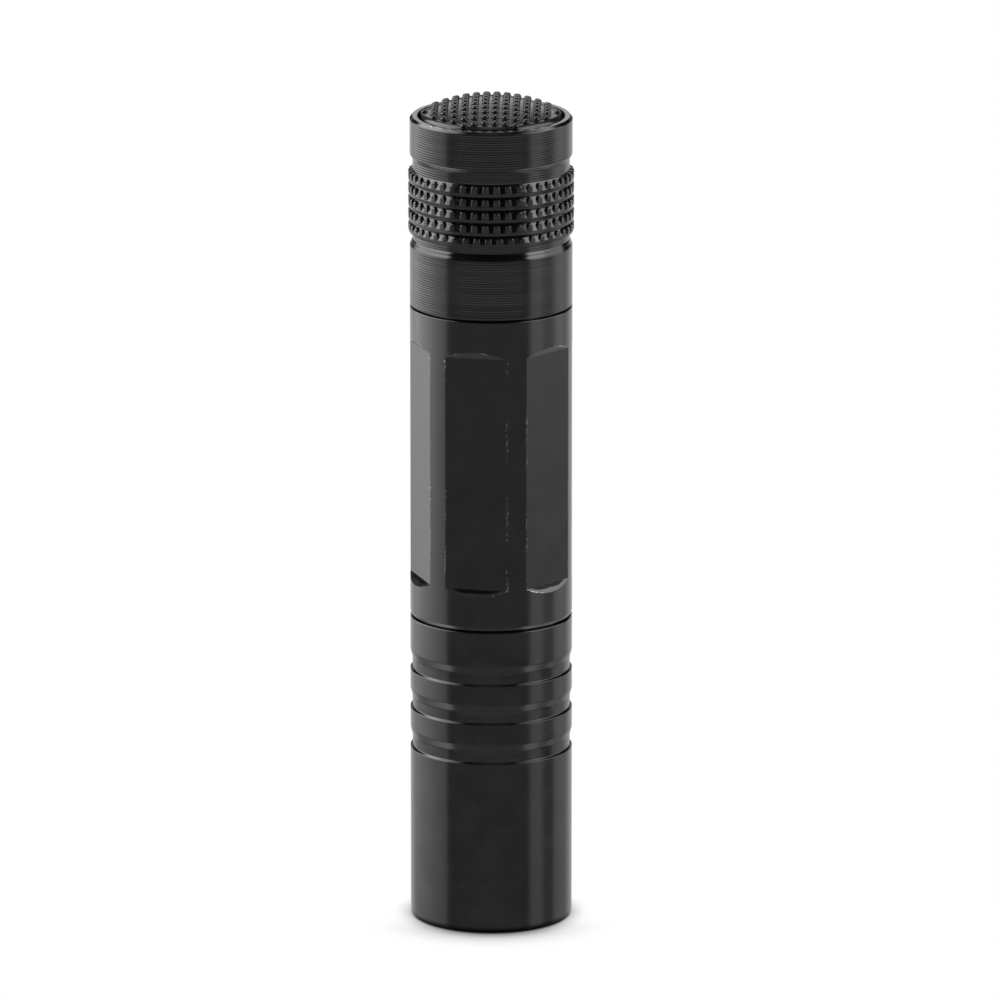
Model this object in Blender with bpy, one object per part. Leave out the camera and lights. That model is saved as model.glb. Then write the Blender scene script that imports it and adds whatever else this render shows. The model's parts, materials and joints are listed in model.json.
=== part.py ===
"""Mini flashlight for one AA cell: turned aluminium body, push button in the tail, LED behind the front rim.

The torch stands on its front rim. The origin is the centre of that rim, +Z runs up the body to the button,
and one of the six milled flats faces -Y. Drawing sizes are in millimetres and become metres through MM.
"""
import math

import bmesh
import bpy
from mathutils import Matrix, Vector

MM = 0.001
SEGMENTS = 48              # sides of the barrel and the head
INNER_SEGMENTS = 24        # sides of the round pieces inside
PIN_SEGMENTS = 16          # sides of small round pieces and holes
GAP = 0.1                  # free space between pieces that meet

# Body
BODY_R = 9.0
HEAD_TOP = 34.6            # head meets barrel here
BARREL_BOTTOM = 34.85
BARREL_TOP = 69.95         # barrel meets tail cap here
CAP_BOTTOM = 70.2
CAP_TOP = 91.4
EDGE = 0.12                # small chamfer on the turned edges

# Necks of the barrel, which carry the threads and the two rubber rings
NECK_R = 8.1
NECK_LENGTH = 6.5
BORE_R = 7.3
SEAL_GROOVE_R = 7.65
SEAL_GROOVE_WIDTH = 0.7
SEAL_GROOVE_OFFSET = 1.35  # groove's middle, from the barrel's shoulder
SEAL_INNER_R = 7.76
SEAL_WIRE_R = 0.22
SOCKET_R = 8.25            # bore of the cap and of the head round a neck

# Flats of the barrel
FLAT_COUNT = 6
FLAT_APOTHEM = 8.3
FLAT_BOTTOM = 39.38
FLAT_TOP = 65.72
RUNOUT = 0.78              # height of the slope at each end of a flat
FLAT_CUT_HALF_WIDTH = 4.2

# Knurled rings of the tail cap: each is a slope that widens downwards with teeth raised on it, a plain band
# below the teeth, and an undercut
TEETH = 45                 # teeth in each ring, and sides of the cap and the boot
TOOTH_TURN_DEG = 1.5       # a gap between two teeth, from the +X side
TOOTH_START = 0.21         # top of a tooth below the top of its ring
TOOTH_WIDTH = 0.76
TOOTH_TOP_WIDTH = 0.42
KNURL_TOP = 85.45
KNURL_PITCH = 1.46
KNURL_ROWS = 5
KNURL_TIP_R = 9.17
KNURL_VALLEY_R = 8.68
KNURL_SLOPE = 0.94         # height of a ring's slope
KNURL_BAND = 0.36          # height of its plain band
KNURL_FOOT_R = 9.12        # at the lower edge of the band
UNDERCUT = 0.16
LAST_ROW_TURN_DEG = 2.0    # the lowest ring's teeth stand a little beside the others
LAST_ROW_CUT = 0.16        # and its slope is shorter

# Cap's rim, groove and shoulder
RIM_CHAMFER = 0.3
GROOVE_TOP = 87.15
GROOVE_SIDE = (8.8, 86.85)
GROOVE_DEEPEST = (8.68, 86.35)
GROOVE_FOOT = (8.76, 85.85)
NECKING_R = 8.7
SHOULDER_TOP = 77.64
SHOULDER_BOTTOM = 76.85
CAP_STEP = 76.7            # inner step above the barrel's neck
CAP_BORE_R = 7.9
BOARD_STEP = 83.6
SWITCH_BORE_R = 7.2
SHELF_BOTTOM = 87.9
SHELF_TOP = 88.8
SHELF_R = 6.4
RIM_R = 8.15
BEAD_GROOVE_R = 8.45
BEAD_BOTTOM = 89.3
BEAD_TOP = 90.1

# Grooves of the head
HEAD_GROOVE_FEET = (28.46, 24.02, 19.5)
HEAD_GROOVE_WIDTH = 2.2
HEAD_GROOVE_DEPTH = 0.24
RIM_ROUND = 0.45
HEAD_WINDOW_R = 7.4
HEAD_LIP = 1.3

# Rubber boot
DOME_TOP = 93.3
DOME_SPHERE_R = 17.0
DOME_R = 7.1               # where the dome turns over into its rounded edge
BOOT_EDGE_R = 7.8
BOOT_EDGE_Z = 90.95
BOOT_FLANGE_R = 8.05
BOOT_BEAD_R = 8.35
BOOT_BEAD = (89.45, 90.0)
BOOT_SHOULDER = 90.2
BOOT_BOTTOM = 88.95
BOOT_WALL = 1.0
BOOT_BORE_R = 6.9
BOOT_BOSS_R = 1.6
BOSS_GAP = 0.25            # between the boot's boss and the plunger
DOT_PITCH = 1.13
DOT_FIELD_R = 7.42
DOT_HALF = 0.4             # half the width of a dot's foot
DOT_TIP_HALF = 0.17        # half the width of its blunt tip
DOT_HEIGHT = 0.35
BOOT_TURN_DEG = 10.2       # the grid of dots against the barrel's flats, as the cap is screwed home

# Stack behind the front rim, from the rim upwards
LENS_SEAL = (1.4, 2.0)
LENS = (2.1, 3.6)
LENS_R = 8.05
REFLECTOR = (3.75, 12.6)
REFLECTOR_RIM_R = 8.0
REFLECTOR_MOUTH_R = 7.3
REFLECTOR_HOLE_R = 2.4
REFLECTOR_WALL = 0.95
REFLECTOR_COLLAR_R = 4.2
REFLECTOR_RIM = 1.0
GASKET = (12.7, 13.65)
GASKET_R = (0.6, 4.4)
LED_BASE = (12.9, 13.65)
LED_SIDE = 3.45
LED_DOME_R = 1.4
LED_BOARD = (13.8, 15.2)
LED_BOARD_R = 6.95
PILL = (13.8, 28.1)
PILL_R = 8.0
PILL_WEB = (15.35, 17.3)
PILL_POCKET_R = 7.1
PILL_BORE_R = 6.6
DRIVER_SEAT = 23.5
DRIVER_BOARD = (23.6, 24.6)
WIRE_X = 4.4
WIRE_R = 0.35
WIRE_HOLE_R = 0.6
COIL_R = 1.7
COIL_WAIST_R = 1.3
COIL_HEIGHT = 2.3
COIL_FLANGE = 0.4
COIL_PLACE = (0.0, -2.6)
CHIP_SIZE = (2.9, 1.7, 1.1)
CHIP_PLACE = (0.0, 2.6)
CAPACITOR_SIZE = (0.9, 1.7, 0.9)
CAPACITOR_PLACES = {"left": (-3.6, 2.9), "right": (3.6, 2.9)}
FRONT_SPRING_R = (3.6, 1.9)
SPRING_WIRE_R = 0.3        # wire of the two cell springs
SPRING_TURNS = 2.75

# AA cell
CELL = (28.5, 79.0)
CELL_CAN_R = 6.9
CELL_SLEEVE_R = (7.0, 7.12)
CELL_NUB_R = 2.7
CELL_SHOULDER = 1.6
CELL_ROUND = 0.6
CELL_SEAL_R = (3.1, 5.8)
CELL_SEAL_THICKNESS = 0.45
CELL_PLATE = 0.5           # height of the negative plate above the can
CELL_PLATE_R = (4.2, 4.8, 5.9)

# Click switch, from the cell upwards
TAIL_SPRING = (79.2, 82.35)
TAIL_SPRING_R = (2.3, 4.4)
RETAINING_RING = (80.0, 82.3)
RETAINING_RING_R = (5.3, 7.75)
SWITCH_BOARD = (82.45, 83.45)
SWITCH_BOARD_R = 7.75
SWITCH_HOUSING = (83.6, 88.2)
SWITCH_SIDE = 8.2
SWITCH_CORNER = 1.0
SWITCH_WALL = 0.8
SWITCH_FLOOR = 0.7
SWITCH_COVER = (88.3, 89.0)
STEM_R = 1.95
STEM_HOLE_R = 2.15
STEM_TOP = 91.0
PLUNGER_FLANGE = (87.0, 88.1)
PLUNGER_FLANGE_R = 2.9
PLUNGER_POST_R = 1.15
PLUNGER_POST_END = 85.6
BRIDGE = (86.6, 86.85)
BRIDGE_SIZE = (6.2, 3.4)
BRIDGE_CORNER = 0.6
PLUNGER_SPRING_R = 1.75
PLUNGER_WIRE_R = 0.15
PLUNGER_SPRING_TURNS = 2.5
TERMINAL_PLACES = {"left": -2.6, "right": 2.6}
TERMINAL_R = 0.35
TERMINAL_HOLE_R = 0.47
TERMINAL = (82.2, 85.3)


def clear_scene():
    """Start from an empty scene."""
    for old in list(bpy.data.objects):
        bpy.data.objects.remove(old, do_unlink=True)


def material(name, colour, roughness, metallic=0.0, transmission=0.0):
    """A plain Principled material with the finish of one kind of piece."""
    made = bpy.data.materials.new(name)
    made.use_nodes = True
    shader = made.node_tree.nodes["Principled BSDF"]
    shader.inputs["Base Color"].default_value = (*colour, 1.0)
    shader.inputs["Roughness"].default_value = roughness
    shader.inputs["Metallic"].default_value = metallic
    shader.inputs["Transmission Weight"].default_value = transmission
    return made


def add_object(name, bm, finish, sharp_deg=32.0):
    """Turn a bmesh into a named object with smooth round faces and sharp edges."""
    bmesh.ops.recalc_face_normals(bm, faces=bm.faces)
    mesh = bpy.data.meshes.new(name)
    bm.to_mesh(mesh)
    bm.free()
    mesh.shade_smooth()
    mesh.set_sharp_from_angle(angle=math.radians(sharp_deg))
    mesh.materials.append(finish)
    made = bpy.data.objects.new(name, mesh)
    bpy.context.scene.collection.objects.link(made)
    return made


def boolean(target, cutter, operation):
    """Cut target with cutter, or join them, and keep the cutter out of the model."""
    step = target.modifiers.new(operation.lower(), "BOOLEAN")
    step.operation = operation
    step.solver = "EXACT"
    step.object = cutter
    cutter.hide_render = True
    cutter.display_type = "WIRE"


def spun(profile, closed, sides):
    """Spin a profile of (radius, height) points, which runs down the outside, about the Z axis."""
    bm = bmesh.new()
    points = [bm.verts.new((r * MM, 0.0, z * MM)) for r, z in profile]
    edges = [bm.edges.new(pair) for pair in zip(points, points[1:])]
    if closed:
        edges.append(bm.edges.new((points[-1], points[0])))
    bmesh.ops.spin(
        bm,
        geom=points + edges,
        cent=(0.0, 0.0, 0.0),
        axis=(0.0, 0.0, 1.0),
        angle=2.0 * math.pi,
        steps=sides,
        use_merge=True,
    )
    bmesh.ops.remove_doubles(bm, verts=bm.verts, dist=1e-7)
    return bm


def turned(name, profile, finish, closed=True, sides=INNER_SEGMENTS):
    """A turned piece: closed profiles stand clear of the axis, open ones start and end on it."""
    return add_object(name, spun(profile, closed, sides), finish)


def disc(name, radius, span, finish, sides=INNER_SEGMENTS):
    """A round plate between two heights."""
    low, high = span
    return turned(name, [(0, high), (radius, high), (radius, low), (0, low)], finish, False, sides)


def washer(name, inner, outer, span, finish):
    """A flat ring between two heights."""
    low, high = span
    return turned(name, [(inner, high), (outer, high), (outer, low), (inner, low)], finish)


def block(size, centre, bevel=0.0, upright_only=False):
    """A box with bevelled edges, or with only its upright edges rounded."""
    bm = bmesh.new()
    place = Matrix.Translation(Vector(centre) * MM) @ Matrix.Diagonal((*[s * MM for s in size], 1.0))
    bmesh.ops.create_cube(bm, size=1.0, matrix=place)
    if bevel:
        edges = list(bm.edges)
        if upright_only:
            edges = [e for e in edges if abs((e.verts[0].co - e.verts[1].co).z) > size[2] * MM / 2]
        segments = 2 if upright_only else 1
        bmesh.ops.bevel(bm, geom=edges, offset=bevel * MM, segments=segments, profile=0.5, affect="EDGES")
    return bm


def rod(radius, span, x=0.0, sides=PIN_SEGMENTS):
    """A round rod along Z between two heights."""
    low, high = span
    bm = bmesh.new()
    place = Matrix.Translation(Vector((x, 0.0, (low + high) / 2)) * MM)
    bmesh.ops.create_cone(
        bm, cap_ends=True, segments=sides, radius1=radius * MM, radius2=radius * MM,
        depth=(high - low) * MM, matrix=place,
    )
    return bm


def cut_hole(piece, name, radius, span, x=0.0, sides=PIN_SEGMENTS):
    """Cut a round hole along Z, from a little below to a little above two heights."""
    low, high = span
    cutter = add_object(name, rod(radius, (low - 1.0, high + 1.0), x, sides), METAL_BLACK)
    boolean(piece, cutter, "DIFFERENCE")


def coil(name, span, radii, wire_r, turns, steps_per_turn):
    """A wire spring round the Z axis: one helix whose radius changes evenly from foot to top."""
    low, high = span[0] + wire_r, span[1] - wire_r
    foot_r, top_r = radii
    steps = round(turns * steps_per_turn)
    curve = bpy.data.curves.new(name, "CURVE")
    curve.dimensions = "3D"
    curve.bevel_depth = wire_r * MM
    curve.bevel_resolution = 1
    curve.use_fill_caps = True
    spline = curve.splines.new("POLY")
    spline.points.add(steps)
    for step, point in enumerate(spline.points):
        share = step / steps
        angle = 2.0 * math.pi * turns * share
        radius = foot_r + (top_r - foot_r) * share
        place = (radius * math.cos(angle), radius * math.sin(angle), low + (high - low) * share)
        point.co = (*[value * MM for value in place], 1.0)
    curve.materials.append(SPRING_STEEL)
    made = bpy.data.objects.new(name, curve)
    bpy.context.scene.collection.objects.link(made)
    return made


# Finishes
METAL_BLACK = material("black anodised aluminium", (0.02, 0.02, 0.021), 0.22, 0.9)
RUBBER_BLACK = material("black rubber", (0.03, 0.03, 0.033), 0.55)
RUBBER_RING = material("ring rubber", (0.015, 0.015, 0.015), 0.5)
PLASTIC_BLACK = material("black plastic", (0.02, 0.02, 0.02), 0.4)
PLASTIC_WHITE = material("white plastic", (0.75, 0.75, 0.72), 0.4)
CLEAR_PLASTIC = material("clear window plastic", (0.95, 0.95, 0.95), 0.05, 0.0, 1.0)
BRIGHT_CUP = material("polished cup", (0.9, 0.9, 0.9), 0.05, 1.0)
BARE_ALUMINIUM = material("bare aluminium", (0.7, 0.7, 0.71), 0.3, 1.0)
BRASS = material("brass", (0.75, 0.58, 0.28), 0.3, 1.0)
SPRING_STEEL = material("nickel plated spring wire", (0.7, 0.68, 0.64), 0.25, 1.0)
CELL_STEEL = material("nickel plated steel", (0.65, 0.65, 0.64), 0.28, 1.0)
CELL_PRINT = material("cell sleeve", (0.06, 0.16, 0.3), 0.35)
BOARD_GREEN = material("circuit board", (0.03, 0.18, 0.08), 0.45)
BOARD_WHITE = material("white circuit board", (0.8, 0.8, 0.78), 0.4)
FERRITE = material("coil core", (0.06, 0.06, 0.065), 0.6)
CERAMIC = material("white ceramic", (0.85, 0.85, 0.82), 0.35)
PHOSPHOR = material("phosphor under silicone", (0.9, 0.75, 0.15), 0.15)
WIRE_RED = material("red wire", (0.5, 0.03, 0.02), 0.45)
WIRE_BLACK = material("black wire", (0.02, 0.02, 0.02), 0.45)


# Cap and boot, made round by round from the top down
TOOTH_STEP = 2.0 * math.pi / TEETH


def corner(bm, radius, angle, height):
    """One corner at an angle round the axis."""
    return bm.verts.new((radius * MM * math.cos(angle), radius * MM * math.sin(angle), height * MM))


def round_of_corners(bm, radius, height, turn_deg=TOOTH_TURN_DEG):
    """One round of corners, one for each gap between two teeth."""
    start = math.radians(turn_deg)
    return [corner(bm, radius, start + n * TOOTH_STEP, height) for n in range(TEETH)]


def bridge(bm, upper, lower):
    """Join two rounds of corners with four-sided faces."""
    for n in range(TEETH):
        after = (n + 1) % TEETH
        bm.faces.new((upper[n], lower[n], lower[after], upper[after]))


def rounds_below(bm, start, profile):
    """Go on from one round through a profile of (radius, height) points, and return the last round."""
    current = start
    for radius, height in profile:
        lower = round_of_corners(bm, radius, height)
        bridge(bm, current, lower)
        current = lower
    return current


# Tail cap
def knurled_ring(bm, valley, top, slope, turn_deg):
    """The slope of one ring with its raised teeth. Returns its lower line, as (gap, two tooth corners)."""
    start = math.radians(turn_deg)
    root_r = KNURL_VALLEY_R + (KNURL_TIP_R - KNURL_VALLEY_R) * TOOTH_START / slope
    gaps = round_of_corners(bm, KNURL_TIP_R, top - slope, turn_deg)
    line = []
    for n in range(TEETH):
        after = (n + 1) % TEETH
        middle = start + (n + 0.5) * TOOTH_STEP
        top_sides = [middle + side * TOOTH_TOP_WIDTH / 2 / KNURL_TIP_R for side in (-1, 1)]
        foot_sides = [middle + side * TOOTH_WIDTH / 2 / KNURL_TIP_R for side in (-1, 1)]
        roots = [corner(bm, root_r, angle, top - TOOTH_START) for angle in top_sides]
        heads = [corner(bm, KNURL_TIP_R, angle, top - TOOTH_START) for angle in top_sides]
        feet = [corner(bm, KNURL_TIP_R, angle, top - slope) for angle in foot_sides]
        bm.faces.new((valley[n], roots[0], roots[1], valley[after]))
        bm.faces.new((valley[n], gaps[n], feet[0], roots[0]))
        bm.faces.new((valley[after], roots[1], feet[1], gaps[after]))
        bm.faces.new((roots[0], heads[0], heads[1], roots[1]))
        bm.faces.new((roots[0], feet[0], heads[0]))
        bm.faces.new((roots[1], heads[1], feet[1]))
        bm.faces.new((heads[0], feet[0], feet[1], heads[1]))
        line.append((gaps[n], feet[0], feet[1]))
    return line


def foot_band(bm, line, top, turn_deg):
    """The plain band below a ring's teeth. Returns its lower round."""
    foot = round_of_corners(bm, KNURL_FOOT_R, top - KNURL_BAND, turn_deg)
    for n in range(TEETH):
        after = (n + 1) % TEETH
        bm.faces.new((*line[n], line[after][0], foot[after], foot[n]))
    return foot


def make_tail_cap():
    """The cap: rim, plain band, round groove, knurled rings, sloping shoulder, lower band, stepped bore."""
    bm = bmesh.new()
    above = [(RIM_R + EDGE, CAP_TOP), (BODY_R - RIM_CHAMFER, CAP_TOP), (BODY_R, CAP_TOP - RIM_CHAMFER),
             (BODY_R, GROOVE_TOP), GROOVE_SIDE, GROOVE_DEEPEST, GROOVE_FOOT]
    first = round_of_corners(bm, *above[0])
    current = rounds_below(bm, first, above[1:])
    valley = round_of_corners(bm, KNURL_VALLEY_R, KNURL_TOP)
    bridge(bm, current, valley)
    for row in range(KNURL_ROWS - 1):
        top = KNURL_TOP - row * KNURL_PITCH
        line = knurled_ring(bm, valley, top, KNURL_SLOPE, TOOTH_TURN_DEG)
        foot = foot_band(bm, line, top - KNURL_SLOPE, TOOTH_TURN_DEG)
        last = row == KNURL_ROWS - 2
        turn_deg = TOOTH_TURN_DEG + (LAST_ROW_TURN_DEG if last else 0.0)
        valley = round_of_corners(bm, KNURL_VALLEY_R, top - KNURL_PITCH, turn_deg)
        bridge(bm, foot, valley)
    top = KNURL_TOP - (KNURL_ROWS - 1) * KNURL_PITCH
    slope = KNURL_SLOPE - LAST_ROW_CUT
    line = knurled_ring(bm, valley, top, slope, TOOTH_TURN_DEG + LAST_ROW_TURN_DEG)
    foot = foot_band(bm, line, top - slope, TOOTH_TURN_DEG + LAST_ROW_TURN_DEG)
    necking = round_of_corners(bm, NECKING_R, top - slope - KNURL_BAND - UNDERCUT)
    bridge(bm, foot, necking)
    below = [(NECKING_R, SHOULDER_TOP), (BODY_R, SHOULDER_BOTTOM), (BODY_R, CAP_BOTTOM + EDGE),
             (BODY_R - EDGE, CAP_BOTTOM), (SOCKET_R, CAP_BOTTOM), (SOCKET_R, CAP_STEP),
             (CAP_BORE_R, CAP_STEP), (CAP_BORE_R, BOARD_STEP), (SWITCH_BORE_R, BOARD_STEP),
             (SWITCH_BORE_R, SHELF_BOTTOM), (SHELF_R, SHELF_BOTTOM), (SHELF_R, SHELF_TOP),
             (RIM_R, SHELF_TOP), (RIM_R, BEAD_BOTTOM), (BEAD_GROOVE_R, BEAD_BOTTOM),
             (BEAD_GROOVE_R, BEAD_TOP), (RIM_R, BEAD_TOP), (RIM_R, CAP_TOP - EDGE)]
    bridge(bm, rounds_below(bm, necking, below), first)
    return add_object("tail_cap", bm, METAL_BLACK)


# Rubber boot
def boot_height(radius):
    """Height of the boot's outer skin at a distance from its axis: a flat dome with a rounded edge."""
    if radius <= DOME_R:
        return DOME_TOP - DOME_SPHERE_R + math.sqrt(DOME_SPHERE_R ** 2 - radius ** 2)
    share = min(1.0, (radius - DOME_R) / (BOOT_EDGE_R - DOME_R))
    drop = boot_height(DOME_R) - BOOT_EDGE_Z
    return boot_height(DOME_R) - drop * (1.0 - math.sqrt(1.0 - share ** 2))


def make_boot():
    """The dome with its grid of dots, the bead that holds it, and its hollow underside with the boss."""
    bm = bmesh.new()
    reach = math.ceil(DOT_FIELD_R / DOT_PITCH)
    grid = {}

    def skin_point(x, y, lift=0.0):
        radius = math.hypot(x, y)
        pull = min(1.0, (BOOT_EDGE_R - 0.2) / radius) if radius else 1.0
        place = Vector((x * pull, y * pull, boot_height(radius * pull) + lift))
        return bm.verts.new(place * MM)

    def grid_point(column, row):
        if (column, row) not in grid:
            grid[column, row] = skin_point(column * DOT_PITCH, row * DOT_PITCH)
        return grid[column, row]

    def square(x, y, half, lift=0.0):
        signs = ((-1, -1), (1, -1), (1, 1), (-1, 1))
        return [skin_point(x + a * half, y + b * half, lift) for a, b in signs]

    for column in range(-reach, reach):
        for row in range(-reach, reach):
            x = (column + 0.5) * DOT_PITCH
            y = (row + 0.5) * DOT_PITCH
            if math.hypot(x, y) > DOT_FIELD_R:
                continue
            cell = [grid_point(column + a, row + b) for a, b in ((0, 0), (1, 0), (1, 1), (0, 1))]
            foot = square(x, y, DOT_HALF)
            tip = square(x, y, DOT_TIP_HALF, DOT_HEIGHT)
            bm.faces.new(tip)
            for n in range(4):
                after = (n + 1) % 4
                bm.faces.new((cell[n], cell[after], foot[after], foot[n]))
                bm.faces.new((foot[n], foot[after], tip[after], tip[n]))
    bmesh.ops.rotate(bm, verts=bm.verts, matrix=Matrix.Rotation(math.radians(BOOT_TURN_DEG), 3, "Z"))

    field_edge = [edge for edge in bm.edges if edge.is_boundary]
    edge_round = round_of_corners(bm, BOOT_EDGE_R, BOOT_EDGE_Z)
    edge_loop = [bm.edges.new((edge_round[n - 1], edge_round[n])) for n in range(TEETH)]
    bmesh.ops.triangle_fill(
        bm, edges=field_edge + edge_loop, use_beauty=True, use_dissolve=False, normal=(0.0, 0.0, 1.0)
    )
    below = [(BOOT_EDGE_R, BOOT_SHOULDER), (BOOT_BEAD_R, BOOT_BEAD[1]), (BOOT_BEAD_R, BOOT_BEAD[0]),
             (BOOT_FLANGE_R, BOOT_BEAD[0] - 0.15),
             (BOOT_FLANGE_R, BOOT_BOTTOM), (BOOT_BORE_R, BOOT_BOTTOM), (BOOT_BORE_R, BOOT_SHOULDER)]
    below += [(r, boot_height(r) - BOOT_WALL) for r in (6.5, 4.0, BOOT_BOSS_R)]
    below.append((BOOT_BOSS_R, STEM_TOP + BOSS_GAP))
    bm.faces.new(rounds_below(bm, edge_round, below))
    return add_object("switch_boot", bm, RUBBER_BLACK)


# Barrel
def make_battery_tube():
    """The tube with a neck and a seal groove at each end, and six milled flats with sloping ends."""
    def seal_groove(middle):
        half = SEAL_GROOVE_WIDTH / 2
        return [(NECK_R, middle + half), (SEAL_GROOVE_R, middle + half), (SEAL_GROOVE_R, middle - half),
                (NECK_R, middle - half)]

    neck_top = BARREL_TOP + NECK_LENGTH
    neck_bottom = BARREL_BOTTOM - NECK_LENGTH
    profile = [(NECK_R - 0.2, neck_top), (NECK_R, neck_top - 0.2)]
    profile += seal_groove(BARREL_TOP + SEAL_GROOVE_OFFSET)
    profile += [(NECK_R, BARREL_TOP), (BODY_R - EDGE, BARREL_TOP), (BODY_R, BARREL_TOP - EDGE),
                (BODY_R, BARREL_BOTTOM + 0.35), (BODY_R - EDGE, BARREL_BOTTOM), (NECK_R, BARREL_BOTTOM)]
    profile += seal_groove(BARREL_BOTTOM - SEAL_GROOVE_OFFSET)
    profile += [(NECK_R, neck_bottom + 0.2), (NECK_R - 0.2, neck_bottom), (BORE_R, neck_bottom),
                (BORE_R, neck_top)]
    tube = turned("battery_tube", profile, METAL_BLACK, sides=SEGMENTS)

    outside = BODY_R + 1.0
    flare = RUNOUT * (outside - FLAT_APOTHEM) / (BODY_R - FLAT_APOTHEM)
    corners = [(FLAT_APOTHEM, FLAT_TOP), (FLAT_APOTHEM, FLAT_BOTTOM), (outside, FLAT_BOTTOM - flare),
               (outside, FLAT_TOP + flare)]
    cuts = bmesh.new()
    for n in range(FLAT_COUNT):
        turn = Matrix.Rotation(math.radians(360.0 / FLAT_COUNT * n - 90.0), 4, "Z")
        side = [cuts.verts.new(turn @ (Vector((r, -FLAT_CUT_HALF_WIDTH, z)) * MM)) for r, z in corners]
        face = cuts.faces.new(side)
        grown = bmesh.ops.extrude_face_region(cuts, geom=[face])
        moved = [item for item in grown["geom"] if isinstance(item, bmesh.types.BMVert)]
        across = turn @ (Vector((0.0, 2 * FLAT_CUT_HALF_WIDTH, 0.0)) * MM)
        bmesh.ops.translate(cuts, verts=moved, vec=across)
    boolean(tube, add_object("flat_cuts", cuts, METAL_BLACK), "DIFFERENCE")
    return tube


def make_seals():
    """The rubber ring in each neck's groove."""
    heights = {"tail_o_ring": BARREL_TOP + SEAL_GROOVE_OFFSET,
               "head_o_ring": BARREL_BOTTOM - SEAL_GROOVE_OFFSET}
    centre_r = SEAL_INNER_R + SEAL_WIRE_R
    for name, middle in heights.items():
        angles = [2.0 * math.pi * n / 5 for n in range(5)]
        profile = [(centre_r + SEAL_WIRE_R * math.cos(a), middle + SEAL_WIRE_R * math.sin(a)) for a in angles]
        turned(name, profile, RUBBER_RING)


# Head
def make_head_shell():
    """The head: three shallow grooves with a sharp foot, and a rounded front rim with a lip for the window."""
    profile = [(SOCKET_R, HEAD_TOP), (BODY_R - EDGE, HEAD_TOP), (BODY_R, HEAD_TOP - EDGE)]
    deep = BODY_R - HEAD_GROOVE_DEPTH
    for foot in HEAD_GROOVE_FEET:
        profile += [(BODY_R, foot + HEAD_GROOVE_WIDTH), (deep + 0.08, foot + 0.6 * HEAD_GROOVE_WIDTH),
                    (deep, foot + 0.3), (BODY_R, foot)]
    for n in range(4):
        angle = math.pi / 2 * n / 3
        profile.append((BODY_R - RIM_ROUND * (1 - math.cos(angle)), RIM_ROUND * (1 - math.sin(angle))))
    profile += [(HEAD_WINDOW_R + 0.35, 0.0), (HEAD_WINDOW_R, 0.35), (HEAD_WINDOW_R, HEAD_LIP),
                (SOCKET_R, HEAD_LIP)]
    return turned("head_shell", profile, METAL_BLACK, sides=SEGMENTS)


def make_lamp():
    """Window, reflector, LED and its board, and the pill with the driver circuit."""
    washer("lens_seal", HEAD_WINDOW_R + 0.05, LENS_R, LENS_SEAL, RUBBER_RING)
    disc("lens", LENS_R, LENS, CLEAR_PLASTIC, sides=SEGMENTS)

    mouth, back = REFLECTOR
    scale = (REFLECTOR_MOUTH_R ** 2 - REFLECTOR_HOLE_R ** 2) / (back - mouth)
    vertex = mouth + REFLECTOR_MOUTH_R ** 2 / scale
    steps = 6
    heights = [mouth + (back - mouth) * n / steps for n in range(steps + 1)]
    inside = [(math.sqrt(scale * (vertex - z)), z) for z in heights]
    outside = [(r + REFLECTOR_WALL, z) for r, z in reversed(inside[2:-1:2])]
    rim = [(REFLECTOR_RIM_R, mouth + REFLECTOR_RIM), (REFLECTOR_RIM_R, mouth)]
    collar = [(REFLECTOR_COLLAR_R, back)]
    turned("reflector", inside + collar + outside + rim, BRIGHT_CUP)

    gasket = washer("led_gasket", *GASKET_R, GASKET, PLASTIC_WHITE)
    window = block((LED_SIDE + 0.3, LED_SIDE + 0.3, 3.0), (0, 0, GASKET[0] + 0.5))
    boolean(gasket, add_object("gasket_window", window, PLASTIC_WHITE), "DIFFERENCE")

    low, high = LED_BASE
    base = block((LED_SIDE, LED_SIDE, high - low), (0, 0, (low + high) / 2), 0.1)
    add_object("led_base", base, CERAMIC)
    foot = low - GAP
    angles = [math.pi / 2 * n / 4 for n in range(4)]
    dome = [(0.0, foot)]
    dome += [(LED_DOME_R * math.cos(angle), foot - LED_DOME_R * math.sin(angle)) for angle in angles]
    dome.append((0.0, foot - LED_DOME_R))
    turned("led_dome", dome, PHOSPHOR, False, PIN_SEGMENTS)
    disc("led_board", LED_BOARD_R, LED_BOARD, BOARD_WHITE)

    pill_profile = [(0.0, PILL_WEB[1]), (PILL_BORE_R, PILL_WEB[1]), (PILL_BORE_R, DRIVER_SEAT),
                    (PILL_POCKET_R, DRIVER_SEAT), (PILL_POCKET_R, PILL[1]), (PILL_R, PILL[1]),
                    (PILL_R, PILL[0]), (PILL_POCKET_R, PILL[0]), (PILL_POCKET_R, PILL_WEB[0]),
                    (0.0, PILL_WEB[0])]
    pill = turned("lamp_pill", pill_profile, BARE_ALUMINIUM, closed=False)
    wire_span = (LED_BOARD[1] + GAP, DRIVER_BOARD[0] - GAP)
    for name, x, finish in (("positive", WIRE_X, WIRE_RED), ("negative", -WIRE_X, WIRE_BLACK)):
        cut_hole(pill, f"wire_hole_{name}", WIRE_HOLE_R, PILL_WEB, x)
        add_object(f"lamp_wire_{name}", rod(WIRE_R, wire_span, x, 8), finish)

    make_driver()


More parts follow.
